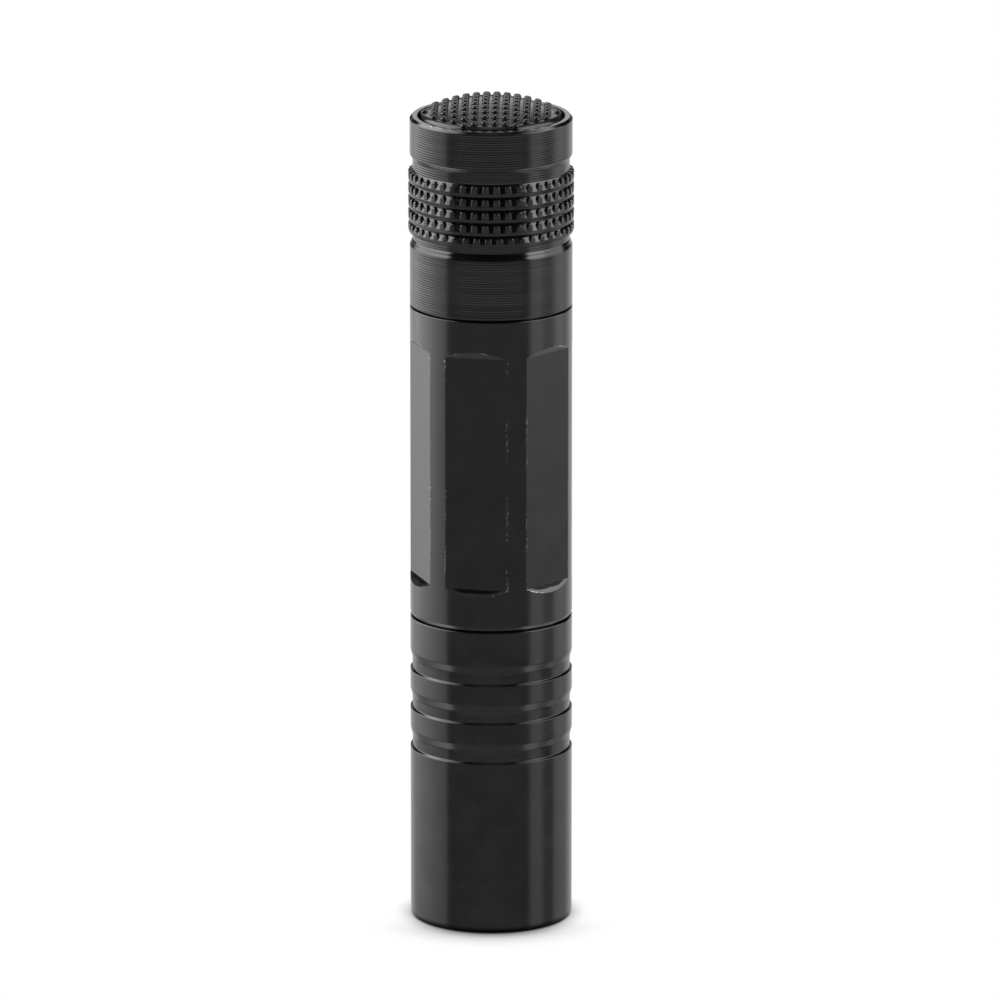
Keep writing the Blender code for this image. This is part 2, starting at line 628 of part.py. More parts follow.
def make_driver():
    """The step-up circuit: its board, coil, chip and two capacitors, and the spring that meets the cell."""
    disc("driver_board", PILL_POCKET_R - 0.15, DRIVER_BOARD, BOARD_GREEN)
    under = DRIVER_BOARD[0] - GAP
    waist_top, waist_bottom = under - COIL_FLANGE - 0.15, under - COIL_HEIGHT + COIL_FLANGE + 0.15
    core_profile = [(0.0, under), (COIL_R, under), (COIL_R, under - COIL_FLANGE), (COIL_WAIST_R, waist_top),
                    (COIL_WAIST_R, waist_bottom), (COIL_R, under - COIL_HEIGHT + COIL_FLANGE),
                    (COIL_R, under - COIL_HEIGHT), (0.0, under - COIL_HEIGHT)]
    core = spun(core_profile, False, 12)
    bmesh.ops.translate(core, verts=core.verts, vec=Vector((*COIL_PLACE, 0.0)) * MM)
    add_object("driver_coil", core, FERRITE)
    chip = block(CHIP_SIZE, (*CHIP_PLACE, under - CHIP_SIZE[2] / 2), 0.1)
    add_object("driver_chip", chip, PLASTIC_BLACK)
    for side, place in CAPACITOR_PLACES.items():
        capacitor = block(CAPACITOR_SIZE, (*place, under - CAPACITOR_SIZE[2] / 2), 0.08)
        add_object(f"driver_capacitor_{side}", capacitor, CERAMIC)
    spring_span = (DRIVER_BOARD[1] + GAP, CELL[0] - 0.15)
    coil("front_spring", spring_span, FRONT_SPRING_R, SPRING_WIRE_R, SPRING_TURNS, 9)


# Cell
def make_cell():
    """One AA cell, positive end down: steel can, printed sleeve, positive cap on its seal, negative plate."""
    positive, negative = CELL
    can_low = positive + CELL_SHOULDER
    can_high = negative - CELL_PLATE
    can = [(0.0, can_high), (CELL_CAN_R - CELL_ROUND, can_high), (CELL_CAN_R, can_high - CELL_ROUND),
           (CELL_CAN_R, can_low + CELL_ROUND), (CELL_CAN_R - CELL_ROUND, can_low), (0.0, can_low)]
    turned("cell_can", can, CELL_STEEL, closed=False)
    washer("cell_sleeve", *CELL_SLEEVE_R, (can_low, can_high), CELL_PRINT)
    seal_top = can_low - GAP
    washer("cell_seal", *CELL_SEAL_R, (seal_top - CELL_SEAL_THICKNESS, seal_top), PLASTIC_BLACK)
    nub = [(0.0, seal_top), (CELL_NUB_R, seal_top), (CELL_NUB_R, positive + 0.3),
           (CELL_NUB_R - 0.3, positive), (0.0, positive)]
    turned("cell_positive_cap", nub, CELL_STEEL, False, PIN_SEGMENTS)
    crown, side, foot = CELL_PLATE_R
    plate = [(0.0, negative), (crown, negative), (side, can_high + CELL_PLATE / 2), (foot, can_high + GAP),
             (0.0, can_high + GAP)]
    turned("cell_negative_plate", plate, CELL_STEEL, closed=False)


# Switch
def make_switch():
    """The click switch on its round board, the ring that clamps the board, and the spring on the cell."""
    coil("tail_spring", TAIL_SPRING, TAIL_SPRING_R, SPRING_WIRE_R, SPRING_TURNS, 9)
    washer("retaining_ring", *RETAINING_RING_R, RETAINING_RING, BRASS)
    board = disc("switch_board", SWITCH_BOARD_R, SWITCH_BOARD, BOARD_GREEN)

    low, high = SWITCH_HOUSING
    floor = low + SWITCH_FLOOR
    cup_size = (SWITCH_SIDE, SWITCH_SIDE, high - low)
    cup = block(cup_size, (0, 0, (low + high) / 2), SWITCH_CORNER, upright_only=True)
    top = [face for face in cup.faces if face.normal.z > 0.9]
    bmesh.ops.inset_region(cup, faces=top, thickness=SWITCH_WALL * MM)
    bmesh.ops.inset_region(cup, faces=top, thickness=0.0, depth=(floor - high) * MM)
    housing = add_object("switch_housing", cup, PLASTIC_BLACK)

    lid_low, lid_high = SWITCH_COVER
    lid_size = (SWITCH_SIDE, SWITCH_SIDE, lid_high - lid_low)
    lid = block(lid_size, (0, 0, (lid_low + lid_high) / 2), SWITCH_CORNER, upright_only=True)
    cover = add_object("switch_cover", lid, PLASTIC_BLACK)
    cut_hole(cover, "stem_hole", STEM_HOLE_R, SWITCH_COVER, sides=INNER_SEGMENTS)

    flange_low, flange_high = PLUNGER_FLANGE
    plunger = [(0.0, STEM_TOP), (STEM_R - 0.3, STEM_TOP), (STEM_R, STEM_TOP - 0.3), (STEM_R, flange_high),
               (PLUNGER_FLANGE_R, flange_high), (PLUNGER_FLANGE_R, flange_low), (PLUNGER_POST_R, flange_low),
               (PLUNGER_POST_R, PLUNGER_POST_END), (0.0, PLUNGER_POST_END)]
    turned("switch_plunger", plunger, PLASTIC_WHITE, False, PIN_SEGMENTS)

    strip_size = (*BRIDGE_SIZE, BRIDGE[1] - BRIDGE[0])
    strip = block(strip_size, (0, 0, sum(BRIDGE) / 2), BRIDGE_CORNER, upright_only=True)
    bridge_plate = add_object("contact_bridge", strip, BRASS)
    cut_hole(bridge_plate, "bridge_hole", PLUNGER_POST_R + 0.15, BRIDGE)
    spring_span = (floor + GAP, BRIDGE[0] - GAP)
    spring_r = (PLUNGER_SPRING_R, PLUNGER_SPRING_R)
    coil("plunger_spring", spring_span, spring_r, PLUNGER_WIRE_R, PLUNGER_SPRING_TURNS, 8)

    for side, x in TERMINAL_PLACES.items():
        add_object(f"switch_terminal_{side}", rod(TERMINAL_R, TERMINAL, x, 10), BRASS)
        cut_hole(board, f"board_hole_{side}", TERMINAL_HOLE_R, SWITCH_BOARD, x)
        cut_hole(housing, f"housing_hole_{side}", TERMINAL_HOLE_R, (low, floor - 0.5), x)


def main():
    clear_scene()
    make_tail_cap()
    make_boot()
    make_battery_tube()
    make_seals()
    make_head_shell()
    make_lamp()
    make_cell()
    make_switch()


main()
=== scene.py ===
"""The looks of the mini flashlight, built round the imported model.

The torch stands on its front rim with its push button up. Drawing sizes are in millimetres and become metres
through MM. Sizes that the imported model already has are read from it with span().
"""
import json
import math

import bmesh
import bpy
from mathutils import Matrix, Vector


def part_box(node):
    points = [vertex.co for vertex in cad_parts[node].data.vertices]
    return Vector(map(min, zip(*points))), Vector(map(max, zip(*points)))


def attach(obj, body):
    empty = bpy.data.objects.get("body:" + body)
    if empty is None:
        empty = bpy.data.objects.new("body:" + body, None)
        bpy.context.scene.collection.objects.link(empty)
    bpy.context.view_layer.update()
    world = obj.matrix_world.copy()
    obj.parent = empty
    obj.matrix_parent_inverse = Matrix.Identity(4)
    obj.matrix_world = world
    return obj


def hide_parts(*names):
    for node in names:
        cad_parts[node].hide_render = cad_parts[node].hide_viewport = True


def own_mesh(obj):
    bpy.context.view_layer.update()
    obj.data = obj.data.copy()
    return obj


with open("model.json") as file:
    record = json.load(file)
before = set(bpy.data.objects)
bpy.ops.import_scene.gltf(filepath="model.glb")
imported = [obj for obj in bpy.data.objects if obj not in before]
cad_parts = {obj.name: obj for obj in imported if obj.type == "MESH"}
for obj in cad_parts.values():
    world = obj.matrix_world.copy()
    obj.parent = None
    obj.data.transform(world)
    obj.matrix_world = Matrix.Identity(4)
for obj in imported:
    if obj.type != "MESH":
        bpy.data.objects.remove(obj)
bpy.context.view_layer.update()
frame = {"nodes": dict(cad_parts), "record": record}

MM = 0.001


def span(node):
    """Lowest and highest point of a round CAD node, and its outer radius, in millimetres."""
    low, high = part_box(node)
    return low.z / MM, high.z / MM, (high.x - low.x) / 2 / MM


# Body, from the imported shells
BODY_R = 9.0
CAP_BOTTOM, CAP_TOP, KNURL_TIP_R = span("tail_cap")
TUBE_BOTTOM, TUBE_TOP, _ = span("battery_tube")
_, HEAD_TOP, _ = span("head_shell")
NECK_LENGTH = 6.5
BARREL_BOTTOM = TUBE_BOTTOM + NECK_LENGTH
BARREL_TOP = TUBE_TOP - NECK_LENGTH
FINE_SIDES = 256           # sides of the outer shells
BARREL_SIDES = 384         # finer, because the flats are cut into it
INNER_SIDES = 96           # sides of the round pieces inside
BOOT_SIDES = 128
EDGE_ROUND = 0.07

# Necks and threads of the barrel
NECK_R = 8.1
THREAD_ROOT_R = 7.84
THREAD_PITCH = 1.0
BORE_R = 7.3
SEAL_GROOVE_R = 7.65
SEAL_GROOVE_WIDTH = 0.7
SEAL_OFFSET = 1.35
THREAD_START = 1.2         # from the middle of the seal to the first turn
THREAD_END = 0.6           # from the last turn to the end of the neck
THREAD_STEPS = (96, 4)     # steps per turn, and sides of its section
SPRING_STEPS = (40, 12)
SOCKET_R = 8.25

# Milled flats
FLAT_COUNT = 6
FLAT_APOTHEM = 8.3
FLAT_BOTTOM = 39.38
FLAT_TOP = 65.72
RUNOUT = 0.78              # height of the slope at each end of a flat
FLAT_CUT_HALF_WIDTH = 4.2

# Knurled rings: each is a slope that widens downwards with arched teeth on it, a plain band and an undercut
TEETH = 45
TOOTH_TURN_DEG = 5.5
TOOTH_START = 0.13         # top of a tooth below the top of its ring
TOOTH_FOOT_HALF = 0.42     # half the width of a tooth at its foot
TOOTH_TOP_HALF = 0.32      # the same at its top, before the corners are rounded
TOOTH_CORNER = 0.27        # round of the two upper corners
TOOTH_EDGE = 0.13          # round of the edge of its front
TOOTH_FLARE = 0.05         # how much wider it is at its root
TOOTH_SUNK = 0.04          # how far it goes down into the band
TOOTH_ROOT = 0.1           # how far it starts inside the slope
KNURL_TOP = 85.45
KNURL_PITCH = 1.46
KNURL_ROWS = 5
KNURL_SLOPE = 0.94         # height of a ring's slope
KNURL_BAND = 0.36          # height of its plain band
KNURL_FOOT_R = 9.12        # at the lower edge of the band
KNURL_VALLEY_R = 8.68
KNURL_ROUND = 0.03
LAST_ROW_TURN_DEG = 2.0    # the lowest ring's teeth stand a little beside the others
LAST_ROW_CUT = 0.16
UNDERCUT = 0.16

# Cap
RIM_CHAMFER = 0.3
GROOVE_TOP = 87.15
GROOVE_FOOT = 86.7
GROOVE_R = 8.68
NECKING_R = 8.7
SHOULDER_TOP = 77.64
SHOULDER_BOTTOM = 76.85
CAP_STEP = 76.7
CAP_BORE_R = 7.9
BOARD_STEP = 83.6
SWITCH_BORE_R = 7.2
SHELF = (87.9, 88.8)
SHELF_R = 6.4
RIM_R = 8.15
BEAD_GROOVE = (89.3, 90.1)
BEAD_GROOVE_R = 8.45

# Head
HEAD_GROOVE_FEET = (28.46, 24.02, 19.5)
HEAD_GROOVE_WIDTH = 2.2
HEAD_GROOVE_DEPTH = 0.24
HEAD_GROOVE_STEP = 0.16    # height of the steep foot of a groove
HEAD_GROOVE_BEND = 0.62    # where its slope meets its floor, as a share of its width
RIM_ROUND = 0.45
HEAD_WINDOW_R = 7.4
HEAD_WINDOW_CHAMFER = 0.35
HEAD_LIP = 1.3

# Reflector
REFLECTOR_MOUTH_R = 7.3
REFLECTOR_HOLE_R = 2.4
REFLECTOR_WALL = 0.95
REFLECTOR_COLLAR_R = 4.2
REFLECTOR_RIM = 1.0

# Rubber boot
DOME_TOP = 93.3
DOME_SPHERE_R = 17.0
DOME_R = 7.1
BOOT_EDGE_R = 7.8
BOOT_EDGE_Z = 90.95
BOOT_WALL = 1.0
BOOT_BOSS_R = 1.6
BOOT_BOSS_FOOT = 91.25
DOT_PITCH = 1.13
DOT_FIELD_R = 7.42
DOT_COLUMNS = 14
DOT_ROWS = 13
DOT_R = 0.4
DOT_FLARE = 0.06           # how far a dot's foot spreads
DOT_HEIGHT = 0.34
DOT_ROUND = 0.24           # round of the edge of its top
DOT_SUNK = 0.06            # how far its foot goes into the dome
DOT_CROWN = 0.015          # how far the middle of its top stands out
BOOT_TURN_DEG = 10.2

# Camera, which stands where the photograph was taken from
VIEW_AZIMUTH_DEG = 11.5
VIEW_ELEVATION_DEG = 14.4
VIEW_DISTANCE = 1389.0
VIEW_LENS = 450.0
AIM_HEIGHT = 47.57
AIM_RIGHT = 0.978


# Node helpers
class Value:
    """A node's output. A sum, a product and so on of such values adds Math nodes to its tree."""

    def __init__(self, socket):
        self.socket = socket
        self.tree = socket.id_data

    def __add__(self, other):
        return maths("ADD", self, other)

    def __sub__(self, other):
        return maths("SUBTRACT", self, other)

    def __rsub__(self, other):
        return maths("SUBTRACT", other, self)

    def __mul__(self, other):
        return maths("MULTIPLY", self, other)

    def __truediv__(self, other):
        return maths("DIVIDE", self, other)

    def __rtruediv__(self, other):
        return maths("DIVIDE", other, self)


def feed(socket, value):
    """Link a socket to a node's output, or set it to a plain value."""
    if isinstance(value, Value):
        socket.id_data.links.new(value.socket, socket)
    else:
        socket.default_value = value


def add_node(tree, kind, inputs=None, **settings):
    """Add a node, set what it is, and feed its named or numbered inputs."""
    made = tree.nodes.new(kind)
    for name, value in settings.items():
        setattr(made, name, value)
    for key, value in (inputs or {}).items():
        feed(made.inputs[key], value)
    return made


def output(tree, kind, inputs=None, key=0, **settings):
    """Add a node, and return one of its outputs."""
    return Value(add_node(tree, kind, inputs, **settings).outputs[key])


def outputs(node):
    """A node's outputs by name."""
    return {socket.name: Value(socket) for socket in node.outputs}


def maths(operation, *values):
    """One Math node's result, in the tree of the first value that comes from a node."""
    tree = next(value.tree for value in values if isinstance(value, Value))
    return output(tree, "ShaderNodeMath", dict(enumerate(values)), operation=operation)


def object_place(tree):
    """Where a point is on its piece, in metres."""
    return output(tree, "ShaderNodeTexCoord", key="Object")


def parts(vector):
    """The X, Y and Z of a vector."""
    return [Value(part) for part in add_node(vector.tree, "ShaderNodeSeparateXYZ", {0: vector}).outputs]


def drawn_parts(place):
    """The X, Y and Z of a place, in millimetres."""
    inputs = {0: place, 1: (1 / MM,) * 3}
    return parts(output(place.tree, "ShaderNodeVectorMath", inputs, operation="MULTIPLY"))


def out_from_axis(axes):
    """Distance from the Z axis."""
    return maths("SQRT", maths("POWER", axes[0], 2.0) + maths("POWER", axes[1], 2.0))


def along_z(length):
    """A vector of a length along Z."""
    return output(length.tree, "ShaderNodeCombineXYZ", {"Z": length})


def noise(place, scale, detail=2.0):
    """A noise over a place, from about 0 to 1."""
    inputs = {"Vector": place, "Scale": scale, "Detail": detail}
    return output(place.tree, "ShaderNodeTexNoise", inputs, "Fac")


def ramped(value, low, high, start=0.0, end=1.0):
    """A smooth step of value from start at low to end at high."""
    inputs = {"Value": value, "From Min": low, "From Max": high, "To Min": start, "To Max": end}
    return output(value.tree, "ShaderNodeMapRange", inputs, "Result", interpolation_type="SMOOTHSTEP")


def group_tree(name, kind, inputs, results):
    """A node group. An input is given by its default number, or by its kind where it has none."""
    tree = bpy.data.node_groups.new(name, kind)
    for label, default in inputs.items():
        number = {int: "Int", float: "Float"}.get(type(default))
        socket_type = f"NodeSocket{number or default}"
        made = tree.interface.new_socket(label, in_out="INPUT", socket_type=socket_type)
        if number:
            made.default_value = default
    for label, made in results.items():
        tree.interface.new_socket(label, in_out="OUTPUT", socket_type=f"NodeSocket{made}")
    return tree, outputs(tree.nodes.new("NodeGroupInput")), tree.nodes.new("NodeGroupOutput").inputs


def shader_group(name, inputs, *results):
    """A node group for finishes, with numbers in and out."""
    return group_tree(name, "ShaderNodeTree", inputs, dict.fromkeys(results, "Float"))


def geometry_group(name, inputs):
    """A node group for shapes, whose last input is the material."""
    inputs = {**inputs, "Material": "Material"}
    return group_tree(name, "GeometryNodeTree", inputs, {"Geometry": "Geometry"})


def use_group(tree, group, inputs=None):
    """Place a shader node group in a material or the world, and return its outputs by name."""
    return outputs(add_node(tree, "ShaderNodeGroup", inputs, node_tree=group))


# Effects that several finishes share
def make_turning_lines():
    """Fine rings left by the lathe tool, along the wall and across a face, as a height from 0 to 1."""
    tree, given, result = shader_group("turning lines", {"Pitch": 0.2}, "Height")
    axes = parts(object_place(tree))
    turns = (axes[2] + out_from_axis(axes)) / (given["Pitch"] * MM)

    def noise_along(scale, detail):
        inputs = {"W": turns, "Scale": scale, "Detail": detail}
        return output(tree, "ShaderNodeTexNoise", inputs, "Fac", noise_dimensions="1D")

    depth = ramped(noise_along(0.13, 2.0), 0.3, 0.7, 0.25, 0.5)
    ridges = maths("SINE", turns * (2 * math.pi)) * depth
    feed(result["Height"], ridges + 0.5 + noise_along(1.7, 1.0) * 0.35)
    return tree


def make_grain():
    """An even grain, as a height and as a light and dark mask."""
    tree, given, result = shader_group("fine grain", {"Size": 0.1}, "Height", "Shade")
    place = object_place(tree)
    scale = 1.0 / MM / given["Size"]
    feed(result["Height"], noise(place, scale, 3.0))
    feed(result["Shade"], ramped(noise(place, scale / 12.0), 0.35, 0.65))
    return tree


def make_worn_spots():
    """Small chips of bare metal where the mask allows them."""
    tree, given, result = shader_group("worn spots", {"Where": 0.0, "Size": 0.2, "Share": 0.4}, "Bare")
    place = object_place(tree)
    scale = 1.0 / MM / given["Size"]
    where = given["Where"] * ramped(noise(place, scale / 30.0), 0.4, 0.62)
    level = 1.0 - given["Share"] * where
    bare = ramped(noise(place, scale, 1.0) - level * 0.75, 0.0, 0.04)
    feed(result["Bare"], bare * where)
    return tree


def make_dust():
    """Sparse pale specks."""
    tree, given, result = shader_group("dust", {"Spacing": 1.0, "Size": 0.1, "Amount": 0.3}, "Dust")
    inputs = {"Vector": object_place(tree), "Scale": 1.0 / MM / given["Spacing"]}
    cells = outputs(add_node(tree, "ShaderNodeTexVoronoi", inputs, feature="F1"))
    speck = ramped(cells["Distance"] / (given["Size"] / given["Spacing"]), 0.6, 0.3)
    chance = output(tree, "ShaderNodeSeparateColor", {"Color": cells["Color"]})
    feed(result["Dust"], speck * maths("LESS_THAN", chance, given["Amount"]))
    return tree


def make_rim_edge():
    """The narrow top face of the cap's rim and its two edges, where the black has worn."""
    sizes = {"Top": CAP_TOP, "Inner radius": RIM_R, "Outer radius": BODY_R - RIM_CHAMFER, "Edge width": 0.06}
    tree, given, result = shader_group("rim edge", sizes, "Edge", "Top face")
    axes = drawn_parts(object_place(tree))
    radius = out_from_axis(axes)
    below = given["Top"] - axes[2]
    edges = []
    for name in ("Inner radius", "Outer radius"):
        off = maths("ABSOLUTE", radius - given[name])
        edges.append(ramped(maths("MAXIMUM", off, below) / given["Edge width"], 1.0, 0.3))
    feed(result["Edge"], maths("MAXIMUM", *edges))
    feed(result["Top face"], ramped(below, 0.03, 0.01))
    return tree


def make_flat_edges():
    """Where the milled flats of the barrel are, and how near a point is to their edges."""
    sizes = {"Flats": float(FLAT_COUNT), "Apothem": FLAT_APOTHEM, "Radius": BODY_R, "Bottom": FLAT_BOTTOM,
             "Top": FLAT_TOP, "Runout": RUNOUT, "Edge width": 0.12}
    tree, given, result = shader_group("flat edges", sizes, "Edge", "Milled", "Low end", "High end", "Step")
    place = object_place(tree)
    axes = drawn_parts(place)
    radius = out_from_axis(axes)
    angle = maths("ARCTAN2", axes[0], axes[1] * -1.0) + 4 * math.pi
    folded = maths("PINGPONG", angle, math.pi / given["Flats"])
    out = radius * maths("COSINE", folded)
    above = axes[2] - given["Top"]
    below = given["Bottom"] - axes[2]
    past = maths("MAXIMUM", maths("MAXIMUM", above, below), 0.0)
    steepness = (given["Radius"] - given["Apothem"]) / given["Runout"]
    floor = given["Apothem"] + past * steepness
    off_round = maths("ABSOLUTE", given["Radius"] - radius)
    off_flat = maths("ABSOLUTE", out - floor)
    away = maths("MAXIMUM", off_round, off_flat) / given["Edge width"]
    feed(result["Edge"], ramped(away, 1.0, 0.0))
    feed(result["Milled"], ramped(off_round, 0.01, 0.03))
    feed(result["Low end"], ramped(below, -0.6, 0.2))
    feed(result["High end"], ramped(above, 0.1, 0.4))
    # A ragged band just below each flat, on its lower slope, which shows darker
    depth = below + noise(place, 3.0 / MM) * 0.2
    step = ramped(depth, 0.06, 0.12) * ramped(depth, 0.5, 0.42)
    feed(result["Step"], step * ramped(off_round, 0.2, 0.3))
    return tree


TURNING_LINES = make_turning_lines()
GRAIN = make_grain()
WORN_SPOTS = make_worn_spots()
DUST = make_dust()
FLAT_EDGES = make_flat_edges()
RIM_EDGE = make_rim_edge()


# Finishes
def start_material(name, **values):
    """A material with one Principled shader whose plain values are set on its own sockets."""
    made = bpy.data.materials.new(name)
    made.use_nodes = True
    shader = made.node_tree.nodes["Principled BSDF"].inputs
    for label, value in values.items():
        colour = isinstance(value, tuple)
        shader[label.replace("_", " ")].default_value = (*value, 1.0) if colour else value
    return made, made.node_tree, shader


def mixed(share, low, high):
    """A colour or number between two, by a mask."""
    if isinstance(low, float):
        inputs = {"Value": share, "To Min": low, "To Max": high}
        return output(share.tree, "ShaderNodeMapRange", inputs, "Result")
    made = add_node(share.tree, "ShaderNodeMix", {0: share}, data_type="RGBA")
    for socket, value in ((made.inputs[6], low), (made.inputs[7], high)):
        feed(socket, (*value, 1.0) if isinstance(value, tuple) else value)
    return Value(made.outputs[2])


def coat(shader, colour, roughness, height, depth):
    """Feed a finish its colour, its roughness and a bump of a real depth, in millimetres."""
    feed(shader["Base Color"], colour)
    feed(shader["Roughness"], roughness)
    bump = output(height.tree, "ShaderNodeBump", {"Height": height, "Distance": depth * MM})
    feed(shader["Normal"], bump)


BLACK_DYE = (0.003, 0.003, 0.0034)
BLACK_DYE_FADED = (0.0055, 0.0053, 0.0056)
BARE_METAL = (0.62, 0.61, 0.59)
PALE_DUST = (0.5, 0.5, 0.5)
RUBBER_DUST = (0.45, 0.44, 0.43)
FULL_SHINE = 0.5           # the usual level of mirror light
FLAT_WEAR = 0.22           # share of an edge of the flats that has worn
FLAT_WEAR_LOW = 0.1        # how much more at the lower ends
FLAT_WEAR_HIGH = 0.16      # and at the upper ends
RIM_WEAR = 0.24


def black_anodised(name, pitch, depth, flats=False, rim=False, foot=False):
    """Glossy black anodised metal with lathe lines, a little dust, bare spots on worn edges, and with foot,
    painted shade at its lowest edge.
    """
    made, tree, shader = start_material(name, IOR=1.75)
    lines = use_group(tree, TURNING_LINES, {"Pitch": pitch})["Height"]
    grain = use_group(tree, GRAIN, {"Size": 0.25})
    dust = use_group(tree, DUST, {"Spacing": 1.6, "Size": 0.07, "Amount": 0.12})["Dust"]
    colour = mixed(grain["Shade"], BLACK_DYE, BLACK_DYE_FADED)
    colour = mixed(dust * 0.12, colour, PALE_DUST)
    worn = None
    if flats:
        edges = use_group(tree, FLAT_EDGES)
        share = edges["High end"] * FLAT_WEAR_HIGH + (edges["Low end"] * FLAT_WEAR_LOW + FLAT_WEAR)
        worn = use_group(tree, WORN_SPOTS, {"Where": edges["Edge"], "Size": 0.16, "Share": share})
        # The ragged band below each flat reflects less light and shows darker
        feed(shader["Specular IOR Level"], mixed(edges["Step"], FULL_SHINE, 0.05))
        lines = lines * ((1.0 - edges["Milled"]) * 0.9 + 0.1)
    if rim:
        edges = use_group(tree, RIM_EDGE)
        where = maths("MAXIMUM", edges["Edge"], edges["Top face"] * 0.6)
        worn = use_group(tree, WORN_SPOTS, {"Where": where, "Size": 0.14, "Share": RIM_WEAR})
    if worn:
        colour = mixed(worn["Bare"], colour, BARE_METAL)
        feed(shader["Metallic"], worn["Bare"])
    if foot:
        # Painted shade: mirror light fades out towards the lowest edge, standing in for the shadow of what it
        # stands on
        height = parts(object_place(tree))[2] / MM
        feed(shader["Specular IOR Level"], ramped(height, RIM_ROUND / 2, 2 * RIM_ROUND, 0.0, FULL_SHINE))
    coat(shader, colour, mixed(grain["Shade"], 0.13, 0.17), lines, depth)
    return made


def rubber(name, colour, faded, roughness, dust_share):
    """Moulded rubber with a smooth skin, a fine grain and settled dust."""
    made, tree, shader = start_material(name, IOR=1.58)
    grain = use_group(tree, GRAIN, {"Size": 0.12})
    dust = use_group(tree, DUST, {"Spacing": 0.8, "Size": 0.12, "Amount": 0.25})["Dust"]
    tone = mixed(dust * dust_share, mixed(grain["Shade"], colour, faded), RUBBER_DUST)
    coat(shader, tone, mixed(grain["Height"], roughness - 0.06, roughness + 0.06), grain["Height"], 0.006)
    return made


def moulded(name, colour, darker, roughness, grain_size=0.15, **values):
    """Moulded plastic, ceramic or ferrite: an even colour with a fine grain."""
    made, tree, shader = start_material(name, **values)
    grain = use_group(tree, GRAIN, {"Size": grain_size})
    rough = mixed(grain["Height"], roughness - 0.05, roughness + 0.05)
    coat(shader, mixed(grain["Shade"], colour, darker), rough, grain["Height"], 0.004)
    return made


def bare_metal(name, colour, darker, roughness, pitch, depth):
    """Turned or drawn metal with tool lines and a slight tarnish."""
    made, tree, shader = start_material(name, Metallic=1.0)
    lines = use_group(tree, TURNING_LINES, {"Pitch": pitch})["Height"]
    shade = use_group(tree, GRAIN, {"Size": 0.3})["Shade"]
    rough = mixed(shade, roughness - 0.04, roughness + 0.05)
    coat(shader, mixed(shade, colour, darker), rough, lines, depth)
    return made


def window_clear():
    """Clear window with a faint grain."""
    made, tree, shader = start_material(
        "clear window", Base_Color=(0.97, 0.98, 0.98), Transmission_Weight=1.0, IOR=1.49
    )
    grain = use_group(tree, GRAIN, {"Size": 0.8})
    feed(shader["Roughness"], mixed(grain["Shade"], 0.01, 0.03))
    return made


def circuit_board(name, mask, copper_hint, roughness):
    """Solder mask over copper: a broad dull pattern under an even coat."""
    made, tree, shader = start_material(name, Coat_Weight=0.3)
    inputs = {"Vector": object_place(tree), "Scale": 0.45 / MM}
    tracks = output(tree, "ShaderNodeTexVoronoi", inputs, "Distance", feature="F1", distance="MANHATTAN")
    under = ramped(tracks, 0.42, 0.5)
    shade = use_group(tree, GRAIN, {"Size": 0.1})["Shade"]
    rough = mixed(shade, roughness - 0.05, roughness + 0.05)
    coat(shader, mixed(under, copper_hint, mask), rough, under, 0.015)
    return made


def cell_sleeve_print():
    """Printed film of the cell: two plain bands of colour with a narrow light ring between them."""
    made, tree, shader = start_material("cell sleeve", Coat_Weight=0.6)
    low, high, _ = span("cell_sleeve")
    share = (parts(object_place(tree))[2] / MM - low) / (high - low)
    grain = use_group(tree, GRAIN, {"Size": 0.2})
    bands = mixed(ramped(share, 0.298, 0.302), (0.55, 0.42, 0.16), (0.04, 0.09, 0.17))
    ring = ramped(share, 0.285, 0.289) * ramped(share, 0.315, 0.311)
    colour = mixed(ring, bands, (0.75, 0.75, 0.72))
    coat(shader, colour, mixed(grain["Shade"], 0.25, 0.35), grain["Height"], 0.003)
    return made


